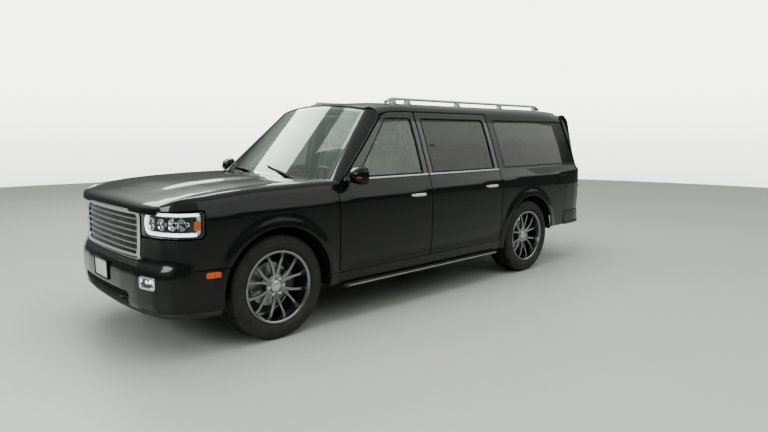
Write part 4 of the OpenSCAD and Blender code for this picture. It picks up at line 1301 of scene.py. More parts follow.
def side_frames():
    """Sill, quarter, cant rail and rear pillars in one pressing each side, and the fuel door."""
    x0 = DOOR_REAR - GAP / 2
    gate_y = GATE_HALF + 0.009
    u_gate = rear_u(gate_y, 0.9)
    lamp = float(plan_x(-2.604))
    low_z = low("rear_bumper").z + 0.004
    arc = arch_arc(REAR_AXLE, SILL + 0.006, low_z, 1)
    pts = along_side([(1.401, DOOR_LOW - 0.004, 0.008), (1.401, SILL + 0.006, 0.02)] + arc +
                     [(-2.236, low_z, 0.01), (-2.236, 0.645, 0.006)])
    pts += [(u_gate, 0.645, 0.006), (u_gate, 0.799, 0.01), (lamp, 0.799, 0.02), (lamp, 1.186, 0.02),
            (rear_u(gate_y, 1.186), 1.186, 0.008), (rear_u(gate_y, BELT), BELT, 0.04)]
    for v, y in ((1.265, 0.791), (1.35, 0.765), (1.45, 0.7345), (1.55, 0.704), (1.65, 0.674),
                 (1.745, 0.6445), (1.78, 0.6445), (1.82, 0.6445), (1.86, 0.6445), (1.89, 0.6445),
                 (1.91, 0.6445)):
        pts.append((min(rear_u(y, v), float(plan_x(-2.56))), v, 0.0))
    pts += along_side([(-2.50, 1.930, 0.0), (0.655, 1.930, 0.004),
                       (a_line(FRAME_TOP - 0.03) + 0.030, FRAME_TOP - 0.018, 0.01),
                       (a_line(FRAME_TOP - 0.03) - 0.062, FRAME_TOP + 0.0065, 0.12),
                       (x0 - 0.002, FRAME_TOP + 0.0065, 0.03), (x0, BELT + 0.05, 0.0),
                       (x0, DOOR_LOW - 0.004, 0.05)])
    window = outline(along_side([(x0 - 0.093, BELT + 0.02, 0.025), (x0 - 0.093, FRAME_TOP - 0.055,
            0.04), (-2.575, FRAME_TOP - 0.055, 0.07), (-2.655, BELT + 0.02, 0.03)]), 0.03, 0.018)
    fuel = outline(along_side([(-2.28, 0.93), (-2.09, 0.93), (-2.09, 1.09), (-2.28, 1.09)]), 0.025,
                   0.014)
    shape = panel(side_skin, outline(pts, 0.01, 0.018), (window, fuel), grid=0.026, deep=0.016,
                  side=-1)
    sided("SIDE_side_frame", shape, BODY2, paint(), ("body_sides",))
    cover = panel(side_skin, grown(fuel, -0.0035), grid=0.03, roll=0.003, deep=0.012, side=-1)
    sided("SIDE_fuel_door", cover, BODY2, paint())
    pane = panel(side_skin, grown(window, 0.004), grid=0.05, roll=0.002, deep=0.005, side=-1,
                 lift=-0.008)
    sided("SIDE_quarter_pane", pane, BODY2, privacy_glass(), ("quarter_glass",))
    lip(window, "SIDE_quarter_seal", BODY2)


def lip(loop, name, bodies):
    """Rubber seal round an opening."""
    a, b = grown(loop, -0.0036).T
    shape = bar(side_skin, a, b, -1, -0.003, oval(0.009, 0.012, 8, 3.0), ring=True)
    sided(name, shape, bodies, seal(), sharp=60)


def ring_skin(x, v):
    """Inner side structure: y_ring below the belt, inside the door frames above it."""
    x, v = pair(x, v)
    upper = HALF - house(np.maximum(v, BELT)) - 0.046
    blend = ease((v - BELT + 0.03) / 0.05)
    y = 0.892 * (1 - blend) + np.minimum(0.93, upper) * blend
    return np.stack([x, y, np.where(v <= BELT, v, house_z(v))], axis=-1)


def inner_frames():
    """Pillars, sill and roof rail that the doors close on, with their weatherstrips."""
    top = FRAME_TOP - 0.012
    outer = [(1.392, DOOR_LOW - 0.012, 0.01), (1.392, 1.13, 0.02), (a_line(BELT) + 0.03, BELT,
            0.02), (a_line(top) + 0.035, top, 0.02), (DOOR_REAR - 0.065, top, 0.01),
             (DOOR_REAR - 0.065, DOOR_LOW - 0.012, 0.01)]
    holes = []
    for front in (True, False):
        x0 = (DOOR_SPLIT if front else DOOR_REAR) + 0.066
        if front:
            hole = [(x0, DOOR_LOW + 0.05, 0.06), (DOOR_FRONT - 0.062, DOOR_LOW + 0.05, 0.09),
                    (DOOR_FRONT - 0.062, 1.08, 0.10), (a_line(BELT) - 0.062, BELT, 0.05),
                    (a_line(top - 0.05) - 0.062, top - 0.05, 0.08), (x0, top - 0.05, 0.05)]
        else:
            x1 = DOOR_SPLIT - 0.066
            hole = [(x0, DOOR_LOW + 0.05, 0.10), (x1, DOOR_LOW + 0.05, 0.05), (x1, top - 0.05,
                    0.05), (x0, top - 0.05, 0.08)]
        holes.append(outline(hole, 0.05, 0.03))
    shape = panel(ring_skin, outline(outer, 0.02, 0.03), holes, grid=0.045, roll=0.006, deep=0.05,
                  side=-1)
    sided("SIDE_pillars", shape, BODY2, inner_paint())
    for hole, name in zip(holes, ("front", "rear")):
        a, b = grown(hole, 0.012).T
        rubber_ = bar(ring_skin, a, b, -1, 0.004, oval(0.016, 0.014, 8), ring=True)
        sided("SIDE_%s_weatherstrip" % name, rubber_, BODY2, seal(), sharp=60)


def door_set():
    for front in (True, False):
        place = "front" if front else "rear"
        bodies = doors_of(front)
        skin, upper, window = door_corners(front)
        low_loop, up_loop, win_loop = side_loop(skin), side_loop(upper), side_loop(window)
        shape = panel(side_skin, low_loop, grid=0.026, deep=0.014, side=-1)
        core = grown(low_loop, -0.014)
        panel(side_skin, core, grid=0.07, roll=0.006, deep=0.078, side=-1, lift=-0.0145,
              shape=shape)
        sided(place + "_SIDE_door_skin", shape, bodies, paint(), (place + "_SIDE_door",))
        frame_ = panel(side_skin, up_loop, (win_loop,), grid=0.03, roll=0.003, deep=0.030, side=-1,
                       lift=-0.002)
        sided(place + "_SIDE_window_frame", frame_, bodies, gloss_black())
        pane = panel(side_skin, grown(win_loop, 0.003), grid=0.05, roll=0.0015, deep=0.005, side=-1,
                     lift=-0.009)
        sided(place + "_SIDE_window_pane", pane, bodies, glass() if front else privacy_glass(),
              (place + "_SIDE_glass",))
        lip(win_loop, place + "_SIDE_window_seal", bodies)
        # belt moulding
        x0, x1 = min(p[0] for p in skin), a_line(BELT) if front else max(p[0] for p in skin)
        u = plan_x(np.linspace(x0 + 0.004, x1 - 0.006, 40))
        mould = bar(side_skin, u, BELT + 0.003, -1, 0.0005, oval(0.010, 0.018, 10, 3.0))
        sided(place + "_SIDE_belt_moulding", mould, bodies, satin_metal(), sharp=40)
        door_handle(front, bodies)
        door_inside(front, bodies, low_loop)
    mirrors()


def door_handle(front, bodies):
    place = "front" if front else "rear"
    x = (DOOR_SPLIT if front else DOOR_REAR) + 0.19
    z = 1.03 if front else 1.045
    ts = np.linspace(-1, 1, 25)
    rows = []
    for t, p, n in zip(ts, *on(side_skin, plan_x(x + 0.095 * ts), z, -1)):
        stand = 0.034 * (1 - abs(t) ** 6) - 0.004
        size = 1 - 0.45 * abs(t) ** 8
        s = oval(0.015 * size, 0.027 * size, 12, 2.6)
        rows.append(p + n * (stand + s[:, :1]) + np.array(UP) * s[:, 1:])
    sided(place + "_SIDE_door_handle", tube(rows), bodies, chrome(), sharp=50,
          after=lambda o: tidy(o, 0.0003))
    cup = outline([(x - 0.085, z - 0.03), (x + 0.06, z - 0.03), (x + 0.06, z + 0.03),
                   (x - 0.085, z + 0.03)], 0.028, 0.008)
    cup[:, 0] = plan_x(cup[:, 0])

    def hollow(u, v):
        got = side_skin(u, v)
        d = np.hypot((u - plan_x(x - 0.012)) / 0.075, (v - z) / 0.032)
        got[..., 1] += 0.0012 - 0.001 * d
        return got
    pad_ = panel(hollow, cup, grid=0.012, roll=0.001, deep=0.002, side=-1, back=False)
    sided(place + "_SIDE_handle_cup", pad_, bodies, gloss_black())


def door_inside(front, bodies, low_loop):
    """Door trim with armrest, map pocket, speaker and pull."""
    place = "front" if front else "rear"
    base = float(plan_x(0.0))
    xa, xb = low_loop[:, 0].min() - base, low_loop[:, 0].max() - base

    def trim(x, z):
        x, z = pair(x, z)
        along = ease((x - xa - 0.10) / 0.08) * ease((xb - 0.16 - x) / 0.10)
        rest = 0.055 * ease((z - 0.80) / 0.02) * ease((0.885 - z) / 0.014) * along
        pocket = 0.030 * ease((z - 0.50) / 0.015) * ease((0.64 - z) / 0.012) * along
        soft_ = 0.010 * np.sin(np.clip((z - 0.90) / 0.24, 0, 1) * math.pi)
        return np.stack([x, 0.906 - rest - pocket - soft_, z], axis=-1)
    loop = grown(low_loop - [base, 0.0], -0.030)
    shape = panel(trim, loop, grid=0.018, roll=0.006, deep=0.018, side=1, back=False)
    sided(place + "_SIDE_door_trim", shape, bodies, cabin_trim())
    speaker = Shape()
    cx = xb - 0.20 if front else xa + 0.25
    for r in (0.018, 0.034, 0.050, 0.066):
        ring = turned([(r - 0.005, 0.0), (r + 0.005, 0.0), (r + 0.004, -0.004),
                       (r - 0.004, -0.004)], 36)
        speaker.add(ring[0] + [cx, 0.905, 0.565], ring[1])
    sided(place + "_SIDE_speaker", speaker, bodies, plastic(), sharp=40,
          after=tidy)
    px = xb - 0.24
    path = [(px + d, 0.896 - 0.030 * (1 - (d / 0.07) ** 4), 0.965) for d in np.linspace(-0.07, 0.07,
            13)]
    pull = sweep(path, [(0, -1, 0)] * 13, oval(0.012, 0.020, 8, 3.0))
    sided(place + "_SIDE_door_pull", pull, bodies, satin_metal(), sharp=50,
          after=tidy)


def mirrors():
    """Door mirrors: cap, glass and arm."""
    x0, y0, z0 = DOOR_FRONT - 0.122, HALF + 0.075, BELT + 0.043
    rows = []
    for t in np.linspace(0, 1, 9):
        size = 1 - 0.55 * t ** 2.6
        s = oval(0.172 * size, 0.150 * size, 28, 3.4)
        s[:, 0] *= 1.0 + 0.04 * np.sign(s[:, 0])
        rows.append(np.stack([np.full(28, x0 - 0.045 + 0.095 * t), y0 + s[:, 0] - 0.010 * t,
                              z0 + s[:, 1]], axis=1))
    front_cap = rows[-1] * 0.02 + rows[-1].mean(axis=0) * 0.98
    rows.append(rows[-1] * 0.55 + rows[-1].mean(axis=0) * 0.45 + [0.008, 0, 0])
    rows.append(front_cap + [0.011, 0, 0])
    rim = rows[0] * 0.94 + rows[0].mean(axis=0) * 0.06
    rows = [rim + [0.010, 0, 0], rim - [0.001, 0, 0]] + rows
    sided("SIDE_mirror_cap", tube(rows), doors_of(True), paint(), sharp=45,
          after=lambda o: tidy(o, 0.0002))
    ring = rim + [0.004, 0, 0]
    mid = ring.mean(axis=0)
    rows = [ring, ring * 0.6 + mid * 0.4 + [-0.002, 0, 0], ring * 0.02 + mid * 0.98 + [-0.003, 0,
            0]]
    sided("SIDE_mirror_glass", tube(rows), doors_of(True), mirror_glass(), sharp=60,
          after=lambda o: tidy(o, 0.0002))
    path = [(x0, 0.955, z0 - 0.028), (x0, 0.985, z0 - 0.040), (x0 + 0.002, 1.01, z0 - 0.046),
            (x0 + 0.002, 1.05, z0 - 0.046)]
    arm = sweep(path, [UP] * 4, oval(0.034, 0.062, 12, 3.0))
    sail = outline([(a_line(BELT) - 0.118, BELT + 0.006), (a_line(BELT) - 0.008, BELT + 0.006),
                    (a_line(BELT + 0.10) - 0.012, BELT + 0.10), (a_line(BELT + 0.10) - 0.05,
            BELT + 0.10)], 0.012, 0.012)
    sail[:, 0] = plan_x(sail[:, 0])
    panel(side_skin, sail, grid=0.03, roll=0.003, deep=0.010, side=-1, lift=0.004, shape=arm)
    sided("SIDE_mirror_arm", arm, doors_of(True), plastic(), sharp=50)
    path = [(x0 + 0.042 - 0.010 * abs(k), y0 + 0.070 * k + 0.01, z0 - 0.012)
            for k in np.linspace(-1, 1, 9)]
    lamp = sweep(path, [(1, 0, 0)] * 9, oval(0.010, 0.012, 8, 3.0))
    sided("SIDE_mirror_indicator", lamp, doors_of(True), amber_lens(),
          sharp=60, after=tidy)


def screen_pillars():
    """Windscreen pillars from the fender to the cant rail."""
    t = np.linspace(-0.045, SCREEN_TOP - 0.012, 30)
    z = np.linspace(BELT - 0.008, FRAME_TOP - 0.010, 30)
    outer = side_skin(plan_x(np.array([a_line(k) + 0.012 + 0.030 * ease((k - 1.70) / 0.10)
                                       for k in z])), z)
    up = t + 0.05 * (1 - ease(t / 0.3))
    edge = screen(screen_half(t) + 0.004, up, 0.006)
    inner = screen(screen_half(t) - 0.012, up, 0.002)
    out = unit(outer - edge)
    n = unit(np.cross(np.gradient(edge, axis=0), out))
    n = np.where(n[:, 1:2] < 0, -n, n)
    rows = [inner, edge]
    for k in (0.12, 0.3, 0.5, 0.7, 0.88):
        rows.append(edge * (1 - k) + outer * k + n * 0.020 * math.sin(math.pi * k) ** 0.8)
    rows += [outer, outer - n * 0.03]
    sided("SIDE_screen_pillar", strip(rows), BODY2, paint(), sharp=50,
          after=lambda o: (tidy(o), subdivide(o)))


def windscreen():
    low_t, high_t = 0.02, SCREEN_TOP - 0.010
    left = [(float(screen_half(t)) - 0.008, t) for t in np.linspace(low_t, high_t, 24)]
    top = [(y, high_t) for y in np.linspace(0.60, -0.60, 16)]
    right = [(-y, t) for y, t in left[::-1]]
    bottom = [(y, low_t) for y in np.linspace(-0.80, 0.80, 20)]
    ring = closed(np.array(left + top + right + bottom), 0.03)
    pane = panel(screen, ring, grid=0.06, roll=0.002, deep=0.006, side=1)
    dress(pane.object("windscreen_pane"), "body", glass(), stands_for=("windscreen",))
    border = panel(lambda y, t: screen(y, t, -0.0075), ring, (grown(ring, -0.045),), grid=0.03,
                   roll=0.0, deep=0.001, side=1)
    dress(border.object("windscreen_border"), "body", gloss_black())
    a, b = grown(ring, 0.002).T
    rim = bar(screen, a, b, 1, 0.0, oval(0.010, 0.012, 8, 3.0), ring=True)
    dress(rim.object("windscreen_seal", 60), "body", seal())


def cowl():
    """Grained panel between hood and windscreen, with its slots and wipers."""
    def skin(x, y):
        x, y = pair(x, y)
        front = hood_top(np.full_like(x, HOOD_BACK)) - crown(np.abs(y)) - 0.012
        base_x, base_z = screen_foot(y)
        rise = (base_x - 0.035 - x) / math.tan(RAKE)
        return np.stack([x, y, np.maximum(front - 0.035 * ease((HOOD_BACK - 0.004 - x) / 0.10),
                                          base_z + rise + 0.012)], axis=-1)
    front = [(HOOD_BACK - 0.008, y) for y in np.linspace(-0.80, 0.80, 20)]
    back_ = [(screen_foot(y)[0] - 0.035 - 0.05 * (abs(y) / 0.82) ** 4, y)
             for y in np.linspace(0.822, -0.822, 24)]
    loop = closed(np.array(front + back_), 0.03)
    slots = [outline([(1.48, y), (1.545, y), (1.545, y + 0.16), (1.48, y + 0.16)], 0.008, 0.02)
             for y in (-0.66, -0.44, -0.22, 0.06, 0.28, 0.50)]
    shape = panel(skin, loop, slots, grid=0.025, roll=0.004, deep=0.012, side=1)
    dress(shape.object("cowl_panel"), "body", plastic())
    for k, (foot, tip) in enumerate((((0.62, -0.02), (0.06, 0.09)), ((-0.02, -0.02),
            (-0.62, 0.09)))):
        ts = np.linspace(0, 1, 16)
        y = foot[0] + (tip[0] - foot[0]) * ts
        rise = foot[1] + (tip[1] - foot[1]) * ts
        p = screen(y, rise + 0.035, 0.010)
        n = unit(screen(y, rise + 0.035, 0.020) - p)
        blade = sweep(p[4:] + n[4:] * 0.002, n[4:], oval(0.018, 0.008, 8, 2.5))
        sweep(p[4:] - n[4:] * 0.006, n[4:], oval(0.010, 0.004, 6), blade)
        stand = 0.020 * np.sin(np.linspace(0.4, 3.1, 11))[:, None] + 0.006
        arm = sweep(p[:11] + n[:11] * stand, n[:11], oval(0.008, 0.016, 8, 3.0))
        dress(blade.object("wiper_blade_%d" % (k + 1), 50), "body", seal())
        dress(arm.object("wiper_arm_%d" % (k + 1), 50), "body", plastic())


def roof():
    xr, half = low("roof").x + 0.002, 0.628
    front = [(float(roof_front(y)[0]) + 0.006, y, 0.0) for y in np.linspace(-half, half, 30)]
    loop = outline(front + [(xr, half, 0.03), (xr, -half, 0.03)], 0.0, 0.03)
    hatch = outline([(-0.10, -0.44), (0.42, -0.44), (0.42, 0.44), (-0.10, 0.44)], 0.05, 0.025)
    shape = panel(roof_skin, loop, (hatch,), grid=0.035, roll=0.005, deep=0.016, side=1)
    dress(shape.object("roof_skin"), "body", paint(), stands_for=("roof",))
    lid = panel(roof_skin, grown(hatch, -0.004), grid=0.05, roll=0.003, deep=0.010, side=1,
                lift=0.001)
    dress(lid.object("sunroof_glass"), "body", privacy_glass())
    lining = panel(roof_skin, grown(loop, -0.012), grid=0.09, roll=0.004, deep=0.006, side=1,
                   lift=-0.040)
    dress(lining.object("headliner"), "body", pile("headlining cloth", (0.20, 0.19, 0.175), 700.0,
                                                   0.3))
    # drip channel between roof and cant rail, and the rails on their feet
    xs = np.linspace(xr, float(roof_front(0.632)[0]), 60)
    ditch = sweep(roof_skin(xs, 0.6345) - [0, 0, 0.004], [UP] * 60, oval(0.008, 0.014, 8, 3.0))
    sided("SIDE_roof_channel", ditch, BODY2, seal(), sharp=60)
    a, b = low("roof_rails"), high("roof_rails")
    ry = b.y - 0.018
    xs = np.concatenate([np.linspace(a.x + 0.002, a.x + 0.10, 10), np.linspace(a.x + 0.2, b.x - 0.2,
            26), np.linspace(b.x - 0.10, b.x - 0.002, 10)])
    end = np.minimum(xs - a.x, b.x - xs)
    top = b.z - 0.013 - 0.034 * (1 - ease(end / 0.09))
    p = np.stack([xs, np.full(len(xs), ry), np.maximum(top, roof_skin(xs, ry)[:, 2] + 0.010)],
                 axis=1)
    rail = sweep(p, [UP] * len(xs), oval(0.026, 0.034, 14, 2.6))
    for x in (a.x + 0.10, -1.42, -0.66, 0.10, b.x - 0.10):
        h = float(roof_skin(x, ry)[2])
        rows = []
        for t, w in ((-0.004, 1.0), (0.25, 0.86), (0.8, 0.70), (1.1, 0.68)):
            s = oval(0.10 * w, 0.036, 16, 3.0)
            z = h + (b.z - 0.022 - h) * t
            rows.append(np.stack([x + s[:, 0], ry + s[:, 1], np.full(16, z)], axis=1))
        tube(rows, rail)
    sided("SIDE_roof_rail", rail, BODY2, satin_metal(), ("roof_rails",), sharp=45,
          after=tidy)
    rows = []
    for t in np.linspace(0, 1, 8):
        s = oval(0.15 * (1 - 0.72 * t), 0.034 * (1 - 0.8 * t ** 1.5), 20, 2.2)
        z = float(roof_skin(-2.30, 0)[2]) - 0.003 + 0.030 * t
        rows.append(np.stack([-2.30 - 0.03 * t + s[:, 0], s[:, 1], np.full(20, z)], axis=1))
    dress(tidy(tube(rows).object("aerial_fin", 50), 0.0002), "body", paint())


def hood():
    s0, s1 = HOOD_S0 + 0.002, hood_s(2.7905)
    side = HOOD_HALF - 0.004
    s_corner = hood_s(2.62)
    right = [(s0, -side + 0.002, 0.02), (s_corner, -side, 0.0)]
    right += [(s, -side, 0.0) for s in np.linspace(s_corner + 0.03, s1 - 0.05, 6)]
    right += [(s1, -side + 0.012, 0.03)]
    loop = outline(right + [(s, -y, r) for s, y, r in right[::-1]], 0.0, 0.025)
    shape = panel(hood_skin, loop, grid=0.024, roll=0.005, deep=0.014, side=1)
    dress(shape.object("hood_skin"), "hood", paint(), stands_for=("hood",))
    inner = outline([(s0 + 0.03, -0.76), (s1 - 0.10, -0.72), (s1 - 0.10, 0.72), (s0 + 0.03, 0.76)],
                    0.06, 0.03)
    holes = []
    for y0, y1 in ((-0.64, -0.36), (-0.28, 0.28), (0.36, 0.64)):
        for a, b in ((0.14, 0.40), (0.48, 0.72), (0.80, 0.98)):
            holes.append(outline([(s0 + a, y0), (s0 + b, y0 * 0.96), (s0 + b, y1 * 0.96),
                                  (s0 + a, y1)], 0.05, 0.03))
    under = panel(hood_skin, inner, holes, grid=0.04, roll=0.006, deep=0.018, side=1, lift=-0.016)
    dress(under.object("hood_frame"), "hood", inner_paint())


def two_way(f):
    """The surface f on both sides; a is measured both ways from the middle."""
    def skin(a, v):
        a, v = pair(a, v)
        p = f(np.abs(a), v)
        p[..., 1] *= np.where(a < 0, -1.0, 1.0)
        return p
    return skin


rear_skin = two_way(side_skin)


def liftgate():
    z0 = low("liftgate").z + 0.002
    half = GATE_HALF
    edge = ((half, z0, 0.03), (half, 0.9, 0.0), (half, 1.18, 0.0), (half, BELT, 0.04),
            (0.782, 1.265, 0.0), (0.756, 1.35, 0.0), (0.7255, 1.45, 0.0), (0.695, 1.55, 0.0),
            (0.665, 1.65, 0.0), (0.636, 1.745, 0.0), (0.635, 1.838, 0.02))

    def gate_loop(corners, radius, step):
        left = [(rear_u(y, v), v, r) for y, v, r in corners]
        return outline(left + [(-a, v, r) for a, v, r in left[::-1]], radius, step)
    loop = gate_loop(edge, 0.01, 0.022)
    win = gate_loop([(0.715, BELT + 0.045, 0.05), (0.585, 1.755, 0.06)], 0.05, 0.022)
    shape = panel(rear_skin, loop, (win,), grid=0.028, roll=0.005, deep=0.012, side=-1)
    panel(rear_skin, grown(loop, -0.030), (grown(win, 0.012),), grid=0.07, roll=0.006, deep=0.036,
          side=-1, lift=-0.0125, shape=shape)
    dress(shape.object("liftgate_skin"), "tailgate", paint(),
          stands_for=("liftgate",))
    pane = panel(rear_skin, grown(win, 0.028), grid=0.05, roll=0.002, deep=0.004, side=-1,
                 lift=0.0035)
    dress(pane.object("liftgate_pane"), "tailgate", privacy_glass(),
          stands_for=("liftgate_glass",))
    border = panel(rear_skin, grown(win, 0.026), (grown(win, -0.030),), grid=0.05, roll=0.0,
                   deep=0.0006, side=-1, lift=-0.0011)
    dress(border.object("liftgate_glass_border"), "tailgate", gloss_black())
    # roof spoiler over the glass
    rows = []
    ys = np.concatenate([np.linspace(-0.632, -0.60, 4), np.linspace(-0.55, 0.55, 23),
                         np.linspace(0.60, 0.632, 4)])
    front_x = low("roof").x - 0.010
    for y in ys:
        end = 1 - ease((0.640 - abs(y)) / 0.06)
        z = float(roof_skin(front_x, y)[2]) - 0.016 * end
        back_x = -2.738 + 0.030 * (abs(y) / 0.63) ** 3 + 0.012 * end
        zb = z - 0.034
        a = rear_skin(abs(y), 1.815)
        section = [(front_x, z - 0.002), (front_x - 0.05, z - 0.006), (front_x - 0.12, z - 0.016),
                   (back_x + 0.02, zb + 0.004), (back_x, zb - 0.003), (back_x + 0.004, zb - 0.014),
                   (back_x + 0.045, zb - 0.024), (a[0] + 0.012, a[2] - 0.010), (a[0] + 0.05,
                a[2] - 0.004), (front_x - 0.01, z - 0.045), (front_x, z - 0.020)]
        rows.append([(x, y, zz) for x, zz in section])
    obj = tidy(tube(rows, capped=True).object("roof_spoiler", 40), 0.0003)
    dress(bevel(obj, 0.003, 2, 35), "tailgate", paint())
    z = float(roof_skin(front_x, 0)[2])
    stop = block(Shape(), (-2.744, -0.16, z - 0.050), (-2.728, 0.16, z - 0.036))
    dress(bevel(tidy(stop.object("high_stop_lamp")), 0.002), "tailgate", red_lens())
    # bright strip and wiper
    strip_ = bar(rear_skin, np.linspace(-0.40, 0.40, 41), 1.02, -1, 0.004, oval(0.014, 0.034, 12,
            3.2))
    dress(tidy(strip_.object("liftgate_bar", 45)), "tailgate", chrome())
    ts = np.linspace(0, 1, 16)
    wiper = bar(rear_skin, 0.02 - 0.40 * ts, BELT + 0.035 + 0.05 * ts, -1, 0.020, oval(0.016, 0.009,
            8, 2.5))
    p, quads = turned([(0.0, -0.022), (0.020, -0.020), (0.024, 0.0), (0.0, 0.0)], 24, False)
    wiper.add(rear_skin(0.02, BELT + 0.03) + p[:, [1, 0, 2]] * [1.1, 1.0, 1.0], quads)
    dress(tidy(wiper.object("rear_wiper", 50)), "tailgate", plastic())
    # inside trim
    trim_loop = gate_loop([(0.755, z0 + 0.05, 0.05), (0.755, BELT - 0.01, 0.04)], 0.04, 0.03)
    trim = panel(rear_skin, trim_loop, grid=0.06, roll=0.005, deep=0.010, side=-1, lift=-0.050)
    dress(trim.object("liftgate_trim"), "tailgate", cabin_trim())


# ---- nose, tail and lamps ----
NOSE_U = nose_at(y0=0.0)


nose_full = two_way(lambda a, z: bumper_skin(nose, nose_lean, NOSE_U - a, z))
tail_full = two_way(lambda a, z: bumper_skin(tail, tail_lean, a, z))


def na(x=None, y=None):
    """Way from the middle of the nose to a place x back or y out."""
    return NOSE_U - (nose_at(x0=x) if x is not None else nose_at(y0=y))


def ta(x=None, y=None):
    return tail_at(x0=x) if x is not None else tail_at(y0=y)


def both_ways(half):
    """Loop through a half outline and its mirror image."""
    return outline(half + [(-a, *rest) for a, *rest in half[::-1]])


def well(loop, depth, name, mat, floor):
    """Wall and floor of a lamp or intake behind a loop in the nose."""
    rows = []
    for d in (0.0, 0.35, 0.8, 1.0):
        edge = grown(loop, -(0.004 + 0.012 * d))
        p, n = on(nose_full, edge[:, 0], edge[:, 1], 1)
        rows.append(p + n * (-0.003 - depth * d))
    wall = tube(rows)
    base = panel(nose_full, grown(loop, -0.010), grid=0.03, roll=0.0, deep=0.002, side=1,
                 back=False, lift=-0.003 - depth)
    for side, sign in SIDES if "SIDE" in name else SIDES[:1]:
        for part, shape, finish_, sharp in (("_wall", wall, mat, 60), ("_floor", base, floor,
                None)):
            made = shape if sign > 0 else shape.mirrored()
            obj = made.object(name.replace("SIDE", side) + part, sharp)
            dress(obj, "body", finish_)


def guide(f, points, side, lift, section, name, mat, radius):
    """Bar that follows a rounded path on a surface."""
    pts = np.array(points, float)
    run = np.concatenate([[0], np.cumsum(np.linalg.norm(np.diff(pts, axis=0), axis=1))])
    line = soft(np.column_stack([run, pts]), radius)
    t = np.linspace(0, run[-1], max(12, int(run[-1] / 0.012)))
    sided(name, bar(f, *line(t), side, lift, section), BODY2, mat, sharp=50, after=tidy)


def front_bumper():
    half = [(na(x=2.375), 0.302, 0.03)]
    half += [(na(x=FRONT_AXLE + math.sqrt(ARCH ** 2 - (z - AXLE_Z) ** 2)), z, 0.0)
             for z in np.linspace(0.345, 0.638, 12)]
    half += [(na(x=2.552), 0.640, 0.008), (na(x=2.552), 0.862, 0.01), (na(y=0.598), 0.862, 0.02),
             (na(y=0.598), 0.690, 0.02)]
    loop = both_ways(half)
    fog = outline([(na(y=0.648), 0.512), (na(y=0.806), 0.512), (na(y=0.806), 0.598), (na(y=0.648),
            0.598)], 0.02, 0.015)
    fog_other = (fog * [-1, 1])[::-1]
    intake = both_ways([(na(y=0.44), 0.335, 0.03), (na(y=0.50), 0.455, 0.03)])
    shape = panel(nose_full, loop, (fog, fog_other, intake), grid=0.028, deep=0.014, side=1)
    dress(shape.object("front_bumper_skin"), "body", paint(),
          stands_for=("front_bumper",))
    lip_half = [(na(x=2.38), 0.299, 0.01), (na(x=2.36), 0.338, 0.01), (na(y=0.62), 0.352, 0.02),
                (na(y=0.52), 0.330, 0.02)]
    lower_ = panel(nose_full, both_ways(lip_half), grid=0.03, roll=0.004, deep=0.012, side=1,
                   lift=0.005)
    dress(lower_.object("front_skid_trim"), "body", plastic())
    pad = panel(nose_full, both_ways([(na(y=0.592), 0.652, 0.01), (na(y=0.592), 0.686, 0.01)]),
                grid=0.03, roll=0.003, deep=0.006, side=1, lift=0.003)
    dress(pad.object("front_bumper_pad"), "body", plastic())
    well(intake, 0.055, "lower_intake", plastic(), gloss_black())
    slats = Shape()
    for z in (0.362, 0.394, 0.426):
        a = np.linspace(-na(y=0.455), na(y=0.455), 40)
        bar(nose_full, a, z, 1, -0.024, oval(0.020, 0.007, 8, 3.0), slats)
    for y in np.linspace(-0.42, 0.42, 15):
        a = na(y=abs(y)) * (1 if y > 0 else -1)
        bar(nose_full, a, np.linspace(0.335, 0.452, 5), 1, -0.034, oval(0.010, 0.004, 6), slats)
    dress(tidy(slats.object("lower_intake_slats", 50)), "body", plastic())
    # fog lamps
    well(fog, 0.045, "SIDE_fog_lamp", gloss_black(), reflector())
    bezel = panel(nose_full, grown(fog, 0.004), (grown(fog, -0.013),), grid=0.02, roll=0.003,
                  deep=0.018, side=1, lift=0.001)
    sided("SIDE_fog_bezel", bezel, BODY2, chrome())
    cover = panel(nose_full, grown(fog, -0.011), grid=0.03, roll=0.001, deep=0.003, side=1,
                  lift=-0.006)
    sided("SIDE_fog_lens", cover, BODY2, lens(), ("fog_lamps",))
    leds = Shape()
    for k in range(3):
        p, n = on(nose_full, na(y=0.690 + 0.037 * k), 0.555, 1)
        ball(leds, p - n * 0.030, 0.013, n)
    sided("SIDE_fog_emitters", leds, BODY2, light_bar(), sharp=60, after=tidy)
    marker = outline([(na(x=2.478), 0.582), (na(x=2.372), 0.582), (na(x=2.372), 0.624),
                      (na(x=2.478), 0.624)], 0.012, 0.012)
    amber = panel(nose_full, marker, grid=0.02, roll=0.003, deep=0.005, side=1, lift=0.004)
    sided("SIDE_side_marker", amber, BODY2, amber_lens())
    hooks = Shape()
    for y in (-0.33, 0.33):
        path = [(x, y + d, 0.392) for x, d in ((2.80, -0.022), (2.836, -0.022), (2.846, 0.0),
                                               (2.836, 0.022), (2.80, 0.022))]
        sweep(path, [UP] * 5, oval(0.014, 0.014, 8), hooks)
    dress(subdivide(tidy(hooks.object("tow_loops", 60))), "body", chassis())


def barrel(shape, centre, way, profile, sides=28):
    """Profile of (radius, way) points turned about way through centre."""
    way = unit(np.asarray(way, float))
    a = unit(np.cross(way, UP))
    b = np.cross(way, a)
    rows = [[centre + a * r * math.cos(k) + b * r * math.sin(k) + way * d
             for k in np.linspace(0, 2 * math.pi, sides + 1)] for r, d in profile]
    return strip(rows, shape)


def ball(shape, centre, r, way, flat=0.6, sides=14):
    """Small dome that faces way."""
    profile = [(r * math.cos(t), r * flat * math.sin(t)) for t in (0.0, 0.35, 0.7, 1.05, 1.35)]
    return barrel(shape, centre, way, profile + [(0.0, r * flat)], sides)


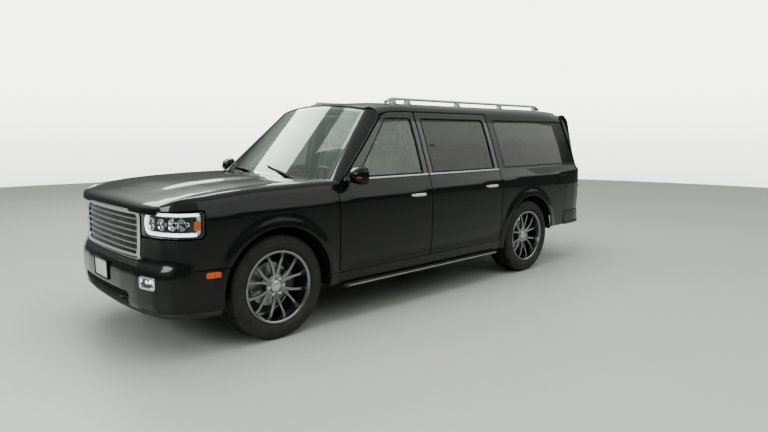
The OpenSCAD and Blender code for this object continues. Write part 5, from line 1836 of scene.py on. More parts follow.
def grille():
    z0, z1, y1 = 0.694, 1.050, 0.590
    outer = both_ways([(na(y=y1 - 0.010), z0, 0.035), (na(y=y1), z1, 0.030)])
    inner = both_ways([(na(y=y1 - 0.052), z0 + 0.040, 0.03), (na(y=y1 - 0.040), z1 - 0.032, 0.03)])
    ring = panel(nose_full, outer, (inner,), grid=0.02, roll=0.007, deep=0.040, side=1, lift=0.004)
    dress(ring.object("grille_surround"), "body", chrome(),
          stands_for=("grille",))
    well(inner, 0.050, "grille_well", gloss_black(), gloss_black())
    bars = Shape()
    a = np.linspace(-na(y=0.546), na(y=0.546), 60)
    for z in np.linspace(z0 + 0.070, z1 - 0.062, 6):
        bar(nose_full, a, z, 1, -0.010, oval(0.024, 0.015, 10, 2.6), bars)
    dress(tidy(bars.object("grille_bars", 45)), "body", satin_metal())
    ribs = Shape()
    z = np.linspace(z0 + 0.045, z1 - 0.036, 10)
    for y in np.linspace(-0.525, 0.525, 36):
        a = na(y=abs(y)) * (1 if y > 0 else -1)
        bar(nose_full, a, z, 1, -0.020, oval(0.020, 0.006, 8, 3.0), ribs)
    dress(tidy(ribs.object("grille_ribs", 45)), "body", dark_alloy())


def headlamps():
    z0, z1 = 0.871, 1.058
    loop = outline([(na(y=0.607), z0, 0.02), (na(y=0.607), z1, 0.02), (na(x=2.480), z1 - 0.004,
            0.02), (na(x=2.478), 0.99, 0.03), (na(x=2.484), z0, 0.04)], 0.02, 0.014)
    well(loop, 0.080, "SIDE_headlamp", gloss_black(), gloss_black())
    cover = panel(nose_full, grown(loop, -0.001), grid=0.03, roll=0.003, deep=0.003, side=1,
                  lift=0.0)
    sided("SIDE_headlamp_lens", cover, BODY2, lens(), ("headlamps",))
    last, out, inn = na(x=2.600), na(x=2.514), na(y=0.640)
    guide(nose_full, [(out, 1.036), (inn + 0.02, 1.036), (inn, 1.00), (inn, 0.93),
                      (inn + 0.02, 0.896), (out - 0.02, 0.896)], 1, -0.020, oval(0.016, 0.022, 10,
            3.0), "SIDE_light_guide", light_bar(), 0.02)
    bezel = panel(nose_full, grown(loop, -0.018),
                  (outline([(inn + 0.020, 0.912), (out - 0.01, 0.912), (out - 0.01, 1.020),
                            (inn + 0.020, 1.020)], 0.02, 0.02),), grid=0.03, roll=0.004, deep=0.020,
                  side=1, lift=-0.034)
    sided("SIDE_headlamp_bezel", bezel, BODY2, chrome())
    barrels, eyes = Shape(), Shape()
    for a in np.linspace(inn + 0.062, last - 0.040, 4):
        p, n = on(nose_full, a, 0.966, 1)
        way = unit(n * 0.4 + np.array([0.9, 0.1, 0]))
        barrel(barrels, p - n * 0.060, way, [(0.018, 0.002), (0.034, 0.012), (0.038, 0.032),
                                             (0.041, 0.034), (0.041, 0.010), (0.036, -0.02)])
        ball(eyes, p - n * 0.058 + way * 0.006, 0.030, way, 0.8, 20)
    sided("SIDE_lamp_barrels", barrels, BODY2, reflector(), sharp=40, after=tidy)
    sided("SIDE_lamp_eyes", eyes, BODY2, lens(), sharp=80, after=tidy)
    turn = outline([(na(x=2.556), 0.925), (na(x=2.506), 0.925), (na(x=2.506), 0.990), (na(x=2.556),
            0.990)], 0.01, 0.012)
    amber = panel(nose_full, turn, grid=0.02, roll=0.002, deep=0.004, side=1, lift=-0.012)
    sided("SIDE_lamp_indicator", amber, BODY2, amber_lens())


def tail_lamps():
    z0, z1 = 0.803, 1.182
    x_end = float(plan_x(-2.6095))
    loop = outline([(rear_u(0.8235, z0), z0, 0.012), (x_end, z0, 0.022), (x_end, z1, 0.022),
                    (rear_u(0.8235, z1), z1, 0.012)], 0.02, 0.014)
    body_ = panel(side_skin, loop, grid=0.025, roll=0.004, deep=0.050, side=-1, lift=0.0)
    sided("SIDE_tail_lamp", body_, BODY2, red_lens(), ("taillamps",))
    u0, u1 = rear_u(0.845, 1.0), x_end - 0.03
    clear = outline([(u0, 0.845, 0.01), (u1 - 0.01, 0.845, 0.01), (u1 - 0.01, 0.905, 0.01),
                     (u0, 0.905, 0.01)], 0.01, 0.012)
    rev = panel(side_skin, clear, grid=0.02, roll=0.003, deep=0.005, side=-1, lift=0.0025)
    sided("SIDE_reverse_lamp", rev, BODY2, coloured_lens("clear ribbed lens", (0.62, 0.64, 0.65)))
    guide(side_skin, [(u1 - 0.01, 1.150), (u0 + 0.02, 1.150), (u0, 1.12), (u0, 0.97),
                      (u0 + 0.02, 0.935), (u1 - 0.01, 0.935)], -1, 0.002, oval(0.012, 0.016, 10,
            3.0), "SIDE_tail_light_guide", coloured_lens("bright red lens", (0.42, 0.010, 0.008)),
          0.015)
    frame_ = panel(side_skin, grown(loop, 0.0015), (grown(loop, -0.006),), grid=0.02, roll=0.002,
                   deep=0.016, side=-1, lift=0.0015)
    sided("SIDE_tail_lamp_frame", frame_, BODY2, gloss_black())


def rear_bumper():
    z0 = low("rear_bumper").z + 0.003
    loop = both_ways([(ta(x=-2.243), z0, 0.015), (ta(x=-2.243), 0.639, 0.008)])
    shape = panel(tail_full, loop, grid=0.028, deep=0.014, side=-1)
    dress(shape.object("rear_bumper_skin"), "body", paint(),
          stands_for=("rear_bumper",))
    low_trim = panel(tail_full, both_ways([(ta(x=-2.26), z0 + 0.001, 0.01), (ta(x=-2.26),
            z0 + 0.034, 0.01)]), grid=0.03, roll=0.003, deep=0.008, side=-1, lift=0.004)
    dress(low_trim.object("rear_lower_trim"), "body", plastic())
    for side, sign in SIDES:
        c = sign * ta(y=0.72)
        loop_ = outline([(c - 0.075, 0.535), (c + 0.075, 0.535), (c + 0.075, 0.560),
                         (c - 0.075, 0.560)], 0.010, 0.012)
        red = panel(tail_full, loop_, grid=0.02, roll=0.003, deep=0.006, side=-1, lift=0.003)
        dress(red.object(side + "_rear_reflector"), "body", red_lens())
    pad = Shape()
    p = tail_full(np.linspace(-0.70, 0.70, 40), 0.620)
    for k in range(7):
        q = np.stack([p[:, 0] + 0.012 + 0.0075 * k, p[:, 1], np.full(40, 0.643)], 1)
        sweep(q, [UP] * 40, oval(0.006, 0.0050, 6), pad)
    p = tail_full(np.linspace(-0.72, 0.72, 48), 0.620)
    strip([np.stack([p[:, 0] + dx, p[:, 1], np.full(48, z)], 1)
           for dx, z in ((0.006, 0.636), (0.008, 0.641), (0.068, 0.642), (0.072, 0.634))], pad)
    dress(tidy(pad.object("rear_step_pad", 50)), "body", plastic())
    for x, sign, z, name, stands in ((2.8605, 1, 0.560, "front_plate", ("plate_brackets",)),
                                     (-2.8605, -1, 0.500, "rear_plate", ())):
        loop_ = box_loop(0.0, z, 0.1525, 0.076, 0.012, 0.03)
        hole = box_loop(0.0, z, 0.140, 0.064, 0.008, 0.03)

        def flat(y, up, x=x):
            y, up = pair(y, up)
            return np.stack([np.full(y.shape, x), y, up], axis=-1)
        edge = panel(flat, loop_, (hole,), grid=0.05, roll=0.002, deep=0.008, side=sign, lift=0.010)
        dress(edge.object(name + "_frame"), "body", plastic(),
              stands_for=stands)
        blank = panel(flat, grown(hole, 0.004), grid=0.04, roll=0.001, deep=0.002, side=sign,
                      lift=0.004)
        dress(blank.object(name + "_blank"), "body", blank_plate())
        bolts = Shape()
        for y in (-0.0889, 0.0889):
            ball(bolts, np.array([x + sign * 0.004, y, z + 0.056]), 0.007, (sign, 0, 0), 0.6, 10)
        dress(tidy(bolts.object(name + "_bolts", 60)), "body", satin_metal())


def running_boards():
    a, b = low("running_boards"), high("running_boards")
    y1, y0 = b.y, b.y - 0.146
    z = b.z
    section = np.array([(y0 + 0.004, z - 0.006), (y0 + 0.016, z - 0.002), (y1 - 0.030, z - 0.001),
                        (y1 - 0.012, z - 0.004), (y1 - 0.002, z - 0.014), (y1 - 0.004, z - 0.026),
                        (y1 - 0.020, z - 0.037), (y0 + 0.030, z - 0.039), (y0 + 0.006, z - 0.026)])
    rows = []
    c = section.mean(axis=0)
    for x, size in ((a.x + 0.002, 0.80), (a.x + 0.012, 0.96), (a.x + 0.04, 1.0), (b.x - 0.04, 1.0),
                    (b.x - 0.012, 0.96), (b.x - 0.002, 0.80)):
        s = c + (section - c) * [1, size]
        rows.append(np.column_stack([np.full(len(s), x), s]))
    sided("SIDE_running_board", tube(rows, capped=True), BODY2, plastic(),
          ("running_boards",), sharp=35, after=lambda o: tidy(o, 0.0002))
    ribs = Shape()
    for k in range(8):
        path = [(x, y0 + 0.030 + 0.0115 * k, z - 0.0012) for x in (a.x + 0.06, 0.2, b.x - 0.06)]
        sweep(path, [UP] * 3, oval(0.0030, 0.006, 6), ribs)
    sided("SIDE_board_tread", ribs, BODY2, seal(), sharp=60, after=tidy)
    path = [(x, y1 - 0.0035, z - 0.016) for x in (a.x + 0.03, 0.2, b.x - 0.03)]
    edge = sweep(path, [(0, 1, 0)] * 3, oval(0.006, 0.009, 8, 3.0))
    sided("SIDE_board_edge", edge, BODY2, satin_metal(), sharp=50, after=tidy)


# ---- wheels ----
RIM_R = 0.2795
TYRE_R = AXLE_Z


def tyre_shape(half):
    """Tyre about the Y axis through the origin: bulged walls, five ribs of tread blocks."""
    pitches, per = 60, 4
    places = (0.0, 0.03, 0.16, 0.19)
    wall = ((0.040, 0.001), (0.024, 0.004), (0.012, 0.016), (0.006, 0.022), (0.0035, 0.034),
            (0.0015, 0.036), (0.0, 0.060), (0.001, 0.078), (0.003, 0.081))
    rows = [(-half + y, RIM_R + r, 0) for y, r in wall]
    rows += [(-half + 0.006, TYRE_R - 0.032, 0), (-half + 0.013, TYRE_R - 0.020, 0),
             (-half + 0.020, TYRE_R - 0.011, 0.004)]
    edges = [-half + 0.030, -0.072, -0.064, -0.025, -0.018, 0.018, 0.025, 0.064, 0.072,
             half - 0.030]

    def crown_at(y):
        return TYRE_R - 0.005 * (abs(y) / (half - 0.030)) ** 2.5

    middle = []
    for k in range(0, 10, 2):
        a, b = edges[k], edges[k + 1]
        depth = 0.0035 if k == 4 else 0.0075
        middle += [(a, crown_at(a) - 0.001, depth), (a + 0.002, crown_at(a), depth),
                   (b - 0.002, crown_at(b), depth), (b, crown_at(b) - 0.001, depth)]
        if k < 8:
            middle += [(b + 0.001, TYRE_R - 0.010, 0), (edges[k + 2] - 0.001, TYRE_R - 0.010, 0)]
    rows = rows + middle + [(-y, r, d) for y, r, d in rows[::-1]]
    points = []
    for y, r, depth in rows:
        lean = 0.55 * abs(y) + (0.018 if abs(y) < 0.02 else 0.0)
        for p in range(pitches):
            for k in range(per):
                size = 1.0 + 0.10 * math.sin(p * 1.7)
                t = (p + places[k] * size) * 2 * math.pi / pitches + lean * 0.9 / TYRE_R * (1
                        if y > 0 else -1)
                rr = r - (depth if k in (1, 2) else 0.0)
                points.append((rr * math.sin(t), y, rr * math.cos(t)))
    size = pitches * per
    quads = [(i * size + j, i * size + (j + 1) % size, (i + 1) * size + (j + 1) % size,
              (i + 1) * size + j) for i in range(len(rows) - 1) for j in range(size)]
    shape = Shape()
    shape.add(points, quads)
    return shape


def spun(shape, profile, sides, whole=True):
    shape.add(*turned(profile, sides, whole))
    return shape


def rim_shapes(half):
    """Rim about the Y axis, face at +Y: barrel, six split spokes, dark recess, bolts."""
    edge = half - 0.008
    well_ = [(-0.004, edge - 0.020), (0.010, edge - 0.012), (0.012, edge - 0.004), (0.008, edge),
             (-0.002, edge - 0.001), (-0.012, edge - 0.008), (-0.017, edge - 0.022),
             (-0.020, 0.060), (-0.030, 0.030), (-0.034, -0.06), (-0.018, -edge + 0.02),
             (-0.002, -edge + 0.002), (0.008, -edge), (0.011, -edge + 0.006),
             (-0.003, -edge + 0.016), (-0.006, -edge + 0.04), (-0.026, -0.05), (-0.024, 0.04),
             (-0.006, edge - 0.040)]
    barrel_ = spun(Shape(), [(RIM_R + r, y) for r, y in well_], 72)
    face = spun(Shape(), [(0.056, 0.080), (0.078, 0.083), (0.086, 0.078), (0.088, 0.060),
                          (0.080, 0.034), (0.040, 0.030), (0.040, 0.060)], 48)
    section = [(0.0, 0.36), (0.0, -0.36), (-0.16, -0.50), (-0.75, -0.42), (-1.0, -0.22),
               (-1.0, 0.22), (-0.75, 0.42), (-0.16, 0.50)]
    for k in range(6):
        for side in (-1, 1):
            path, sizes = [], []
            for t in np.linspace(0, 1, 9):
                r = 0.066 + (RIM_R - 0.012 - 0.066) * t
                spread = 0.13 + 0.115 * ease(t * 1.1) * (1 + 0.15 * t)
                a = k * math.pi / 3 + side * spread
                y = 0.078 + 0.017 * math.sin(min(1.0, t * 1.15) * math.pi / 2) - 0.010 * t ** 6
                path.append((r * math.sin(a), y, r * math.cos(a)))
                sizes.append((0.036 - 0.008 * t + 0.012 * t ** 8,
                              0.031 - 0.008 * ease(t * 1.4) + 0.016 * t ** 7))
            path = np.array(path)
            along = unit(np.gradient(path, axis=0))
            across = unit(np.cross(along, [0.0, 1.0, 0.0]))
            up = unit(np.cross(across, along))
            tube([[p + n * (a * thick) + c * (b * wide) for a, b in section]
                  for p, n, c, (thick, wide) in zip(path, up, across, sizes)], face)
        a0 = k * math.pi / 3
        bridge = []
        for r, y, w in ((0.070, 0.074, 0.010), (0.100, 0.076, 0.012), (0.130, 0.070, 0.010)):
            c = np.array([r * math.sin(a0), y, r * math.cos(a0)])
            t = np.array([math.cos(a0) * w, 0, -math.sin(a0) * w])
            bridge.append([c - t + [0, -0.022, 0], c - t, c + t, c + t + [0, -0.022, 0]])
        tube(bridge, face)
    recess = spun(Shape(), [(0.012, 0.0805), (0.054, 0.0795), (0.057, 0.070), (0.060, 0.03),
                            (0.012, 0.03)], 40)
    bolts = Shape()
    for k in range(6):
        a = (k + 0.5) * math.pi / 3
        c = np.array([0.0665 * math.sin(a), 0.0805, 0.0665 * math.cos(a)])
        barrel(bolts, c, (0, 1, 0), [(0.0115, -0.006), (0.0115, 0.005), (0.0095, 0.009),
                                     (0.004, 0.0105), (0.0001, 0.0105)], 6)
        barrel(bolts, c, (0, 1, 0), [(0.0155, -0.006), (0.0155, 0.0012), (0.0118, 0.0022)], 18)
    cap = spun(Shape(), [(0.0001, 0.0905), (0.020, 0.0900), (0.034, 0.0875), (0.042, 0.0835),
                         (0.0445, 0.079)], 40, False)
    spun(cap, [(0.0255, 0.0885), (0.027, 0.0897), (0.0285, 0.0880)], 40, False)
    valve = barrel(Shape(), np.array([0.244 * math.sin(0.55), 0.072, 0.244 * math.cos(0.55)]),
                   (-0.3, 1, -0.5), [(0.006, -0.012), (0.006, 0.012), (0.0045, 0.014),
                                     (0.0045, 0.022), (0.0001, 0.023)], 10)
    brake = spun(Shape(), [(0.060, -0.045), (0.174, -0.045), (0.1745, -0.036), (0.120, -0.034),
                           (0.120, -0.029), (0.1745, -0.027), (0.174, -0.018), (0.094, -0.017),
                           (0.088, 0.028), (0.060, 0.028)], 64)
    return barrel_, face, recess, bolts, cap, valve, brake


def wheels():
    half = (high("front_left_tyre").y - low("front_left_tyre").y) / 2
    names = ("tyre_tread", "rim_barrel", "rim_spokes", "rim_hub", "wheel_nuts", "centre_cap",
             "valve_stem", "brake_disc")
    shapes = (tyre_shape(half),) + rim_shapes(half)
    mats = (alloy(), alloy(), dark_alloy(), chrome(), satin_metal(), seal(), brake_steel())
    mats = (rubber(),) + mats
    for end, x in (("front", FRONT_AXLE), ("rear", REAR_AXLE)):
        for side, sign in SIDES:
            where = np.array([x, sign * HUB_Y, AXLE_Z])
            wheel = "%s_%s_" % (end, side)
            stands = {"tyre_tread": (wheel + "tyre",), "rim_spokes": (wheel + "rim",)}
            for shape, name, mat in zip(shapes, names, mats):
                placed = Shape().join(shape if sign > 0 else shape.mirrored(), where)
                obj = tidy(placed.object(wheel + name, 40 if name == "tyre_tread" else 32))
                if name == "rim_spokes":
                    bevel(obj, 0.0016, 2, 28)
                dress(obj, wheel + "wheel", mat,
                      stands_for=stands.get(name, ()))


# ---- chassis pieces kept from the frame, and what is added to them ----
def fenders_inside():
    """Wheelhouse liners."""
    for centre, end in ((FRONT_AXLE, "front"), (REAR_AXLE, "rear")):
        front = end == "front"
        t = np.linspace(math.radians(-8 if front else 5), math.radians(188 if front else 176), 40)
        rows = []
        ys = (1.004 if front else 1.006, 0.99, 0.90, 0.80, 0.715 if front else 0.71, 0.70)
        for y, dr in zip(ys, (0.002, 0.010, 0.012, 0.012, 0.010, 0.0)):
            r = ARCH + dr
            rows.append(np.stack([centre + r * np.cos(t), np.full(40, y), AXLE_Z + r * np.sin(t)],
                                 1))
        sided(end + "_SIDE_wheel_liner", strip(rows), BODY2, plastic("liner plastic", 0.012, 0.7,
                0.6, 260.0), sharp=50, after=tidy)


def springs():
    shape = Shape()
    for x, y, z0, z1, r in ((FRONT_AXLE, 0.555, 0.47, 0.76, 0.056), (REAR_AXLE, 0.545, 0.44, 0.63,
            0.066)):
        t = np.linspace(0, 1, 150)
        a = t * 2 * math.pi * 5.5
        p = np.stack([x + r * np.cos(a), y + r * np.sin(a), z0 + (z1 - z0) * t], 1)
        out = np.stack([np.cos(a), np.sin(a), np.zeros_like(a)], 1)
        sweep(p, out, oval(0.013, 0.013, 8), shape)
    sided("SIDE_springs", shape, BODY2, chassis(), sharp=60, after=tidy)


def keep(node, mat, width):
    """A frame node that stays as built, with this finish and eased edges."""
    obj = frame["nodes"][node]
    obj.data.materials.clear()
    obj.data.materials.append(mat)
    for p in obj.data.polygons:
        p.material_index = 0
    if width:
        bevel(obj, width, 2, 40)


def chassis_parts():
    for node in ("front_frame", "mid_frame", "rear_frame"):
        keep(node, chassis(), 0.006)
    for node in ("floor_pan", "firewall"):
        keep(node, inner_paint(), 0.003)
    keep("engine", cast_metal("engine casting", (0.20, 0.205, 0.21), 0.5), 0.010)
    keep("radiator", cast_metal("radiator core", (0.10, 0.10, 0.105), 0.5), 0.003)
    keep("fuel_tank", plastic("tank plastic", 0.014, 0.6, 0.5, 240.0), 0.012)
    keep("exhaust", cast_metal("aluminised exhaust steel", (0.34, 0.335, 0.32), 0.40), 0.0)
    keep("front_suspension", chassis(), 0.005)
    keep("rear_axle", chassis(), 0.004)
    keep("tie_rods", cast_metal("rod steel", (0.25, 0.25, 0.25), 0.4), 0.0)
    for node in ("left_knuckle", "right_knuckle"):
        keep(node, cast_metal("knuckle iron", (0.22, 0.215, 0.21), 0.5), 0.003)
    fenders_inside()
    springs()


# ---- cabin ----
def pillow(name, place, size, crown_, seams, lean, bolster, wide_seam=0.62, power=5.0,
           upright=False):
    """Crowned closed cushion: size is (deep, wide, thick), lean tilts it back."""
    deep, wide, thick = size
    shape = Shape()

    def at(a, b, top):
        """a, b run -1 to 1 over the cushion's face."""
        edge = (1 - abs(a) ** power) * (1 - abs(b) ** power)
        edge = max(edge, 0.0) ** (1 / 2.6)
        ra = a * (1 - 0.05 * abs(b) ** 6)
        rb = b * (1 - 0.05 * abs(a) ** 6)
        h = thick / 2 * edge
        if top:
            h += crown_ * (1 - a * a) * (1 - b * b) * 0.6
            h += bolster * math.exp(-((abs(b) - 0.84) / 0.13) ** 2) * edge
            for s in (-1, 1):
                h -= 0.010 * math.exp(-((b - s * wide_seam) / 0.022) ** 2) * edge
            for k in range(1, seams + 1):
                c = -1 + 2 * k / (seams + 1)
                if abs(b) < wide_seam:
                    h -= 0.008 * math.exp(-((a - c) / 0.030) ** 2) * edge
            if abs(b) < wide_seam - 0.03:
                h += 0.002 * abs(math.sin((b / wide_seam) * math.pi * 4)) * edge
        return (ra * deep / 2, rb * wide / 2, h if top else -h)

    def set_up(p):
        p = p[:, [2, 1, 0]] if upright else p
        c, s = math.cos(lean), math.sin(lean)
        return np.stack([p[:, 0] * c - p[:, 2] * s, p[:, 1], p[:, 0] * s + p[:, 2] * c], 1) + place
    even = np.linspace(-1, 1, 26)
    us, vs = np.sin(even * math.pi / 2) * 0.55 + even * 0.45, np.linspace(-1, 1, 60)
    for top in (True, False):
        strip([[at(a, b, top) for b in vs] for a in us], shape, flip=not top)
    shape.points = [set_up(np.concatenate(shape.points))]
    obj = tidy(shape.object(name, 180), 0.0006)
    dress(obj, "body", leather())
    # piping round the face
    t = np.linspace(0, 2 * math.pi, 96, endpoint=False)
    a, b = (np.sign(k) * np.abs(k) ** 0.42 * 0.965 for k in (np.cos(t), np.sin(t)))
    q = set_up(np.array([at(i, j, True) for i, j in zip(a, b)]))
    ring = sweep(q, unit(q - q.mean(axis=0)), oval(0.006, 0.006, 6), ring=True)
    dress(tidy(ring.object(name + "_piping", 60)), "body", leather("piping leather", (0.03, 0.028,
            0.027)))


def shell(name, rows, mat, edge, sharp=35):
    """Closed loft through equal loops of points, capped at both ends."""
    obj = tidy(tube(rows, capped=True).object(name, sharp), 0.0002)
    return dress(bevel(obj, edge), "body", mat)


def seat(name, x, y, floor, top, wide, back_top, lean=0.30, stands=()):
    """One seat: base on its tracks, cushion, backrest, head restraint."""
    base = outline([(x - 0.30, floor + 0.004), (x + 0.20, floor + 0.004), (x + 0.23, top - 0.15),
                    (x - 0.28, top - 0.16)], 0.03, 0.04)
    shape = pushed(base, y - wide / 2 + 0.045, y + wide / 2 - 0.045)
    obj = bevel(tidy(shape.object(name + "_base", 40)), 0.008, 2, 40)
    dress(obj, "body", seat_plastic(), stands_for=stands)
    pillow(name + "_cushion", (x, y, top - 0.075), (0.50, wide, 0.14), 0.030, 2, 0.06, 0.028)
    tall, back_x = back_top - top + 0.06, x - 0.245
    place = (back_x - math.sin(lean) * tall * 0.5, y, top - 0.03 + tall / 2)
    pillow(name + "_backrest", place, (tall, wide * 0.97, 0.13), 0.022, 3, lean, 0.030,
           upright=True)
    tip_x = back_x - math.sin(lean) * tall
    panel_ = outline([(-wide * 0.46, 0.03), (wide * 0.46, 0.03), (wide * 0.43, tall - 0.07),
                      (-wide * 0.43, tall - 0.07)], 0.05, 0.04)

    def back_skin(b, h):
        b, h = pair(b, h)
        bow = 0.030 * (1 - (b / (wide * 0.5)) ** 4)
        return np.stack([back_x - 0.055 - bow - np.sin(lean) * h, y + b, top - 0.03 + h], axis=-1)
    cover = panel(back_skin, panel_, grid=0.05, roll=0.006, deep=0.010, side=-1)
    dress(cover.object(name + "_back_shell"), "body", seat_plastic())
    head_x = tip_x - 0.012
    posts = Shape()
    for s in (-0.065, 0.065):
        path = [(tip_x + 0.005, y + s, back_top - 0.03), (head_x, y + s, back_top + 0.08)]
        sweep(path, [(1, 0, 0)] * 2, oval(0.012, 0.012, 10), posts)
    dress(tidy(posts.object(name + "_head_posts", 60)), "body", chrome())
    pillow(name + "_head_restraint", (head_x, y, back_top + 0.11), (0.17, 0.28, 0.10), 0.014, 0,
           0.12, 0.0, 0.8, 3.5, True)


def seats():
    for side, sign in SIDES:
        front, rear = (("front_seats",), ("rear_seats",)) if sign > 0 else ((), ())
        y = sign * 0.40
        seat("front_%s_seat" % side, 0.605, y, 0.53, 0.872, 0.52, 1.425, stands=front)
        seat("second_%s_seat" % side, -0.61, y, 0.53, 0.860, 0.54, 1.40, stands=rear)
        seat("third_%s_seat" % side, -1.74, sign * 0.315, 0.69, 0.950, 0.60, 1.36, lean=0.24)
        rail = Shape()
        for s in (-0.18, 0.18):
            block(rail, (0.30, y + s - 0.018, 0.531), (0.90, y + s + 0.018, 0.548))
        dress(bevel(tidy(rail.object("front_%s_seat_tracks" % side)), 0.003), "body", chassis())
        path = [(0.02, sign * 0.868, 1.44), (0.03, sign * 0.862, 1.10), (0.06, sign * 0.858, 0.72)]
        belt_ = sweep(path, [(0, -sign, 0)] * 3, oval(0.002, 0.046, 8, 6))
        block(belt_, (-0.01, sign * 0.852, 1.42), (0.05, sign * 0.874, 1.49))
        dress(bevel(tidy(belt_.object("front_%s_belt" % side, 40)), 0.0006), "body",
              pile("belt webbing", (0.03, 0.03, 0.03), 900.0, 0.4))


def dash():
    """Instrument panel lofted across the cabin, with hood, screens, vents and glove box."""
    rows = []
    for y in np.linspace(-0.800, 0.800, 41):
        hump = 0.040 * math.exp(-((y - 0.40) / 0.17) ** 4)
        side = 0.030 * (abs(y) / 0.8) ** 4
        x0 = 1.345 - 0.03 * (y / 0.8) ** 2
        prof = [(x0, 0.80), (x0, 1.130), (1.250, 1.135), (1.130 - side, 1.128 + hump * 0.5),
                (1.060, 1.118 + hump), (1.035 - hump * 0.4, 1.098 + hump), (1.050, 1.070),
                (1.062, 1.045), (1.050, 1.000), (1.060, 0.950), (1.075, 0.900), (1.110, 0.840),
                (1.180, 0.790), (1.28, 0.775)]
        rows.append([(x, y, z) for x, z in prof])
    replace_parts(shell("dash_panel", rows, dash_plastic(), 0.006, sharp=180), "dashboard")
    prof = ((1.046, 1.062), (1.040, 1.040), (1.046, 1.018), (1.060, 1.018), (1.060, 1.062))
    band = [[(x, y, z) for x, z in prof] for y in np.linspace(-0.79, 0.79, 41)]
    shell("dash_band", band, satin_metal(), 0.002)
    screens = Shape()
    for y, w, z, h in ((0.40, 0.17, 1.105, 0.052), (0.0, 0.135, 1.090, 0.072)):
        block(screens, (1.018, y - w, z - h + 0.01), (1.045, y + w, z + h - 0.01))
    dress(bevel(tidy(screens.object("dash_screens")), 0.006, 3), "body", gloss_black())
    vents = Shape()
    for y in (-0.70, -0.22, 0.22, 0.70):
        for k in range(5):
            block(vents, (1.030, y - 0.055, 1.024 + 0.0085 * k), (1.048, y + 0.055,
                    1.0275 + 0.0085 * k))
        for s in (-0.057, 0.057):
            block(vents, (1.028, y + s - 0.002, 1.018), (1.05, y + s + 0.002, 1.066))
    dress(bevel(tidy(vents.object("dash_vents")), 0.001), "body", plastic())
    loop = outline([(-0.62, 0.875), (-0.20, 0.875), (-0.20, 0.985), (-0.62, 0.985)], 0.02, 0.03)

    def face(y, z):
        y, z = pair(y, z)
        return np.stack([1.048 + 0.14 * (0.985 - z), y, z], axis=-1)
    box_ = panel(face, loop, grid=0.04, roll=0.004, deep=0.012, side=-1)
    dress(box_.object("glove_box"), "body", dash_plastic())
    # console
    cons = []
    for x, top, w in ((0.06, 0.80, 0.115), (0.10, 0.862, 0.120), (0.42, 0.868, 0.122), (0.52, 0.835,
            0.122), (0.80, 0.838, 0.122), (0.95, 0.90, 0.128), (1.045, 0.96, 0.13)):
        cons.append([(x, -w, 0.534), (x, w, 0.534), (x, w, top - 0.02), (x, w - 0.02, top),
                     (x, -w + 0.02, top), (x, -w, top - 0.02)])
    shell("centre_console", cons, dash_plastic(), 0.008)
    pillow("console_armrest", (0.265, 0.0, 0.878), (0.31, 0.225, 0.05), 0.006, 0, 0.02, 0.0, 0.9)
    knob = Shape()
    for y in (-0.05, 0.05):
        barrel(knob, np.array([0.60, y, 0.842]), (0, 0, 1), [(0.040, 0.0), (0.041, 0.006),
                                                             (0.036, 0.008), (0.035, 0.003),
                                                             (0.0001, 0.002)], 28)
    barrel(knob, np.array([0.78, 0.0, 0.840]), (0.2, 0, 1), [(0.030, 0.0), (0.022, 0.015),
                                                             (0.012, 0.05), (0.021, 0.075),
                                                             (0.023, 0.095), (0.014, 0.108),
                                                             (0.0001, 0.110)], 24)
    dress(tidy(knob.object("console_controls", 40)), "body", satin_metal())


def steering():
    """Rim, three spokes and boss of the steering wheel, column and stalks."""
    c = np.array([0.920, 0.400, 1.115])
    tilt = math.radians(65)
    n = np.array([-math.sin(tilt), 0, math.cos(tilt)])
    a = np.array([0.0, 1.0, 0.0])
    b = np.cross(n, a)
    t = np.linspace(0, 2 * math.pi, 72, endpoint=False)
    ring = [c + (a * math.cos(k) + b * math.sin(k)) * 0.180 for k in t]
    shape = sweep(ring, [unit(p - c) for p in ring], oval(0.028, 0.031, 12), ring=True)
    dress(tidy(shape.object("steering_rim", 60)), "body", leather(),
          stands_for=("steering_wheel",))
    boss = barrel(Shape(), c - n * 0.010, n, [(0.0001, 0.022), (0.040, 0.021), (0.062, 0.014),
                                              (0.068, -0.002), (0.060, -0.022), (0.040, -0.05),
                                              (0.034, -0.16)], 36)
    for k in (0.0, math.pi, -math.pi / 2):
        way = a * math.cos(k) + b * math.sin(k)
        path = [c + way * r - n * (0.012 - 0.010 * (r / 0.17)) for r in (0.055, 0.10, 0.14, 0.176)]
        sweep(path, [n] * 4, oval(0.012, 0.038, 10, 3), boss)
    dress(tidy(boss.object("steering_boss", 40)), "body", dash_plastic())
    stalks = Shape()
    for s in (-1, 1):
        path = [c - n * back + a * s * out for back, out in ((0.075, 0.03), (0.070, 0.10),
                                                             (0.062, 0.155))]
        sweep(path, [n] * 3, oval(0.012, 0.014, 10), stalks)
    dress(tidy(stalks.object("steering_stalks", 50)), "body", plastic())


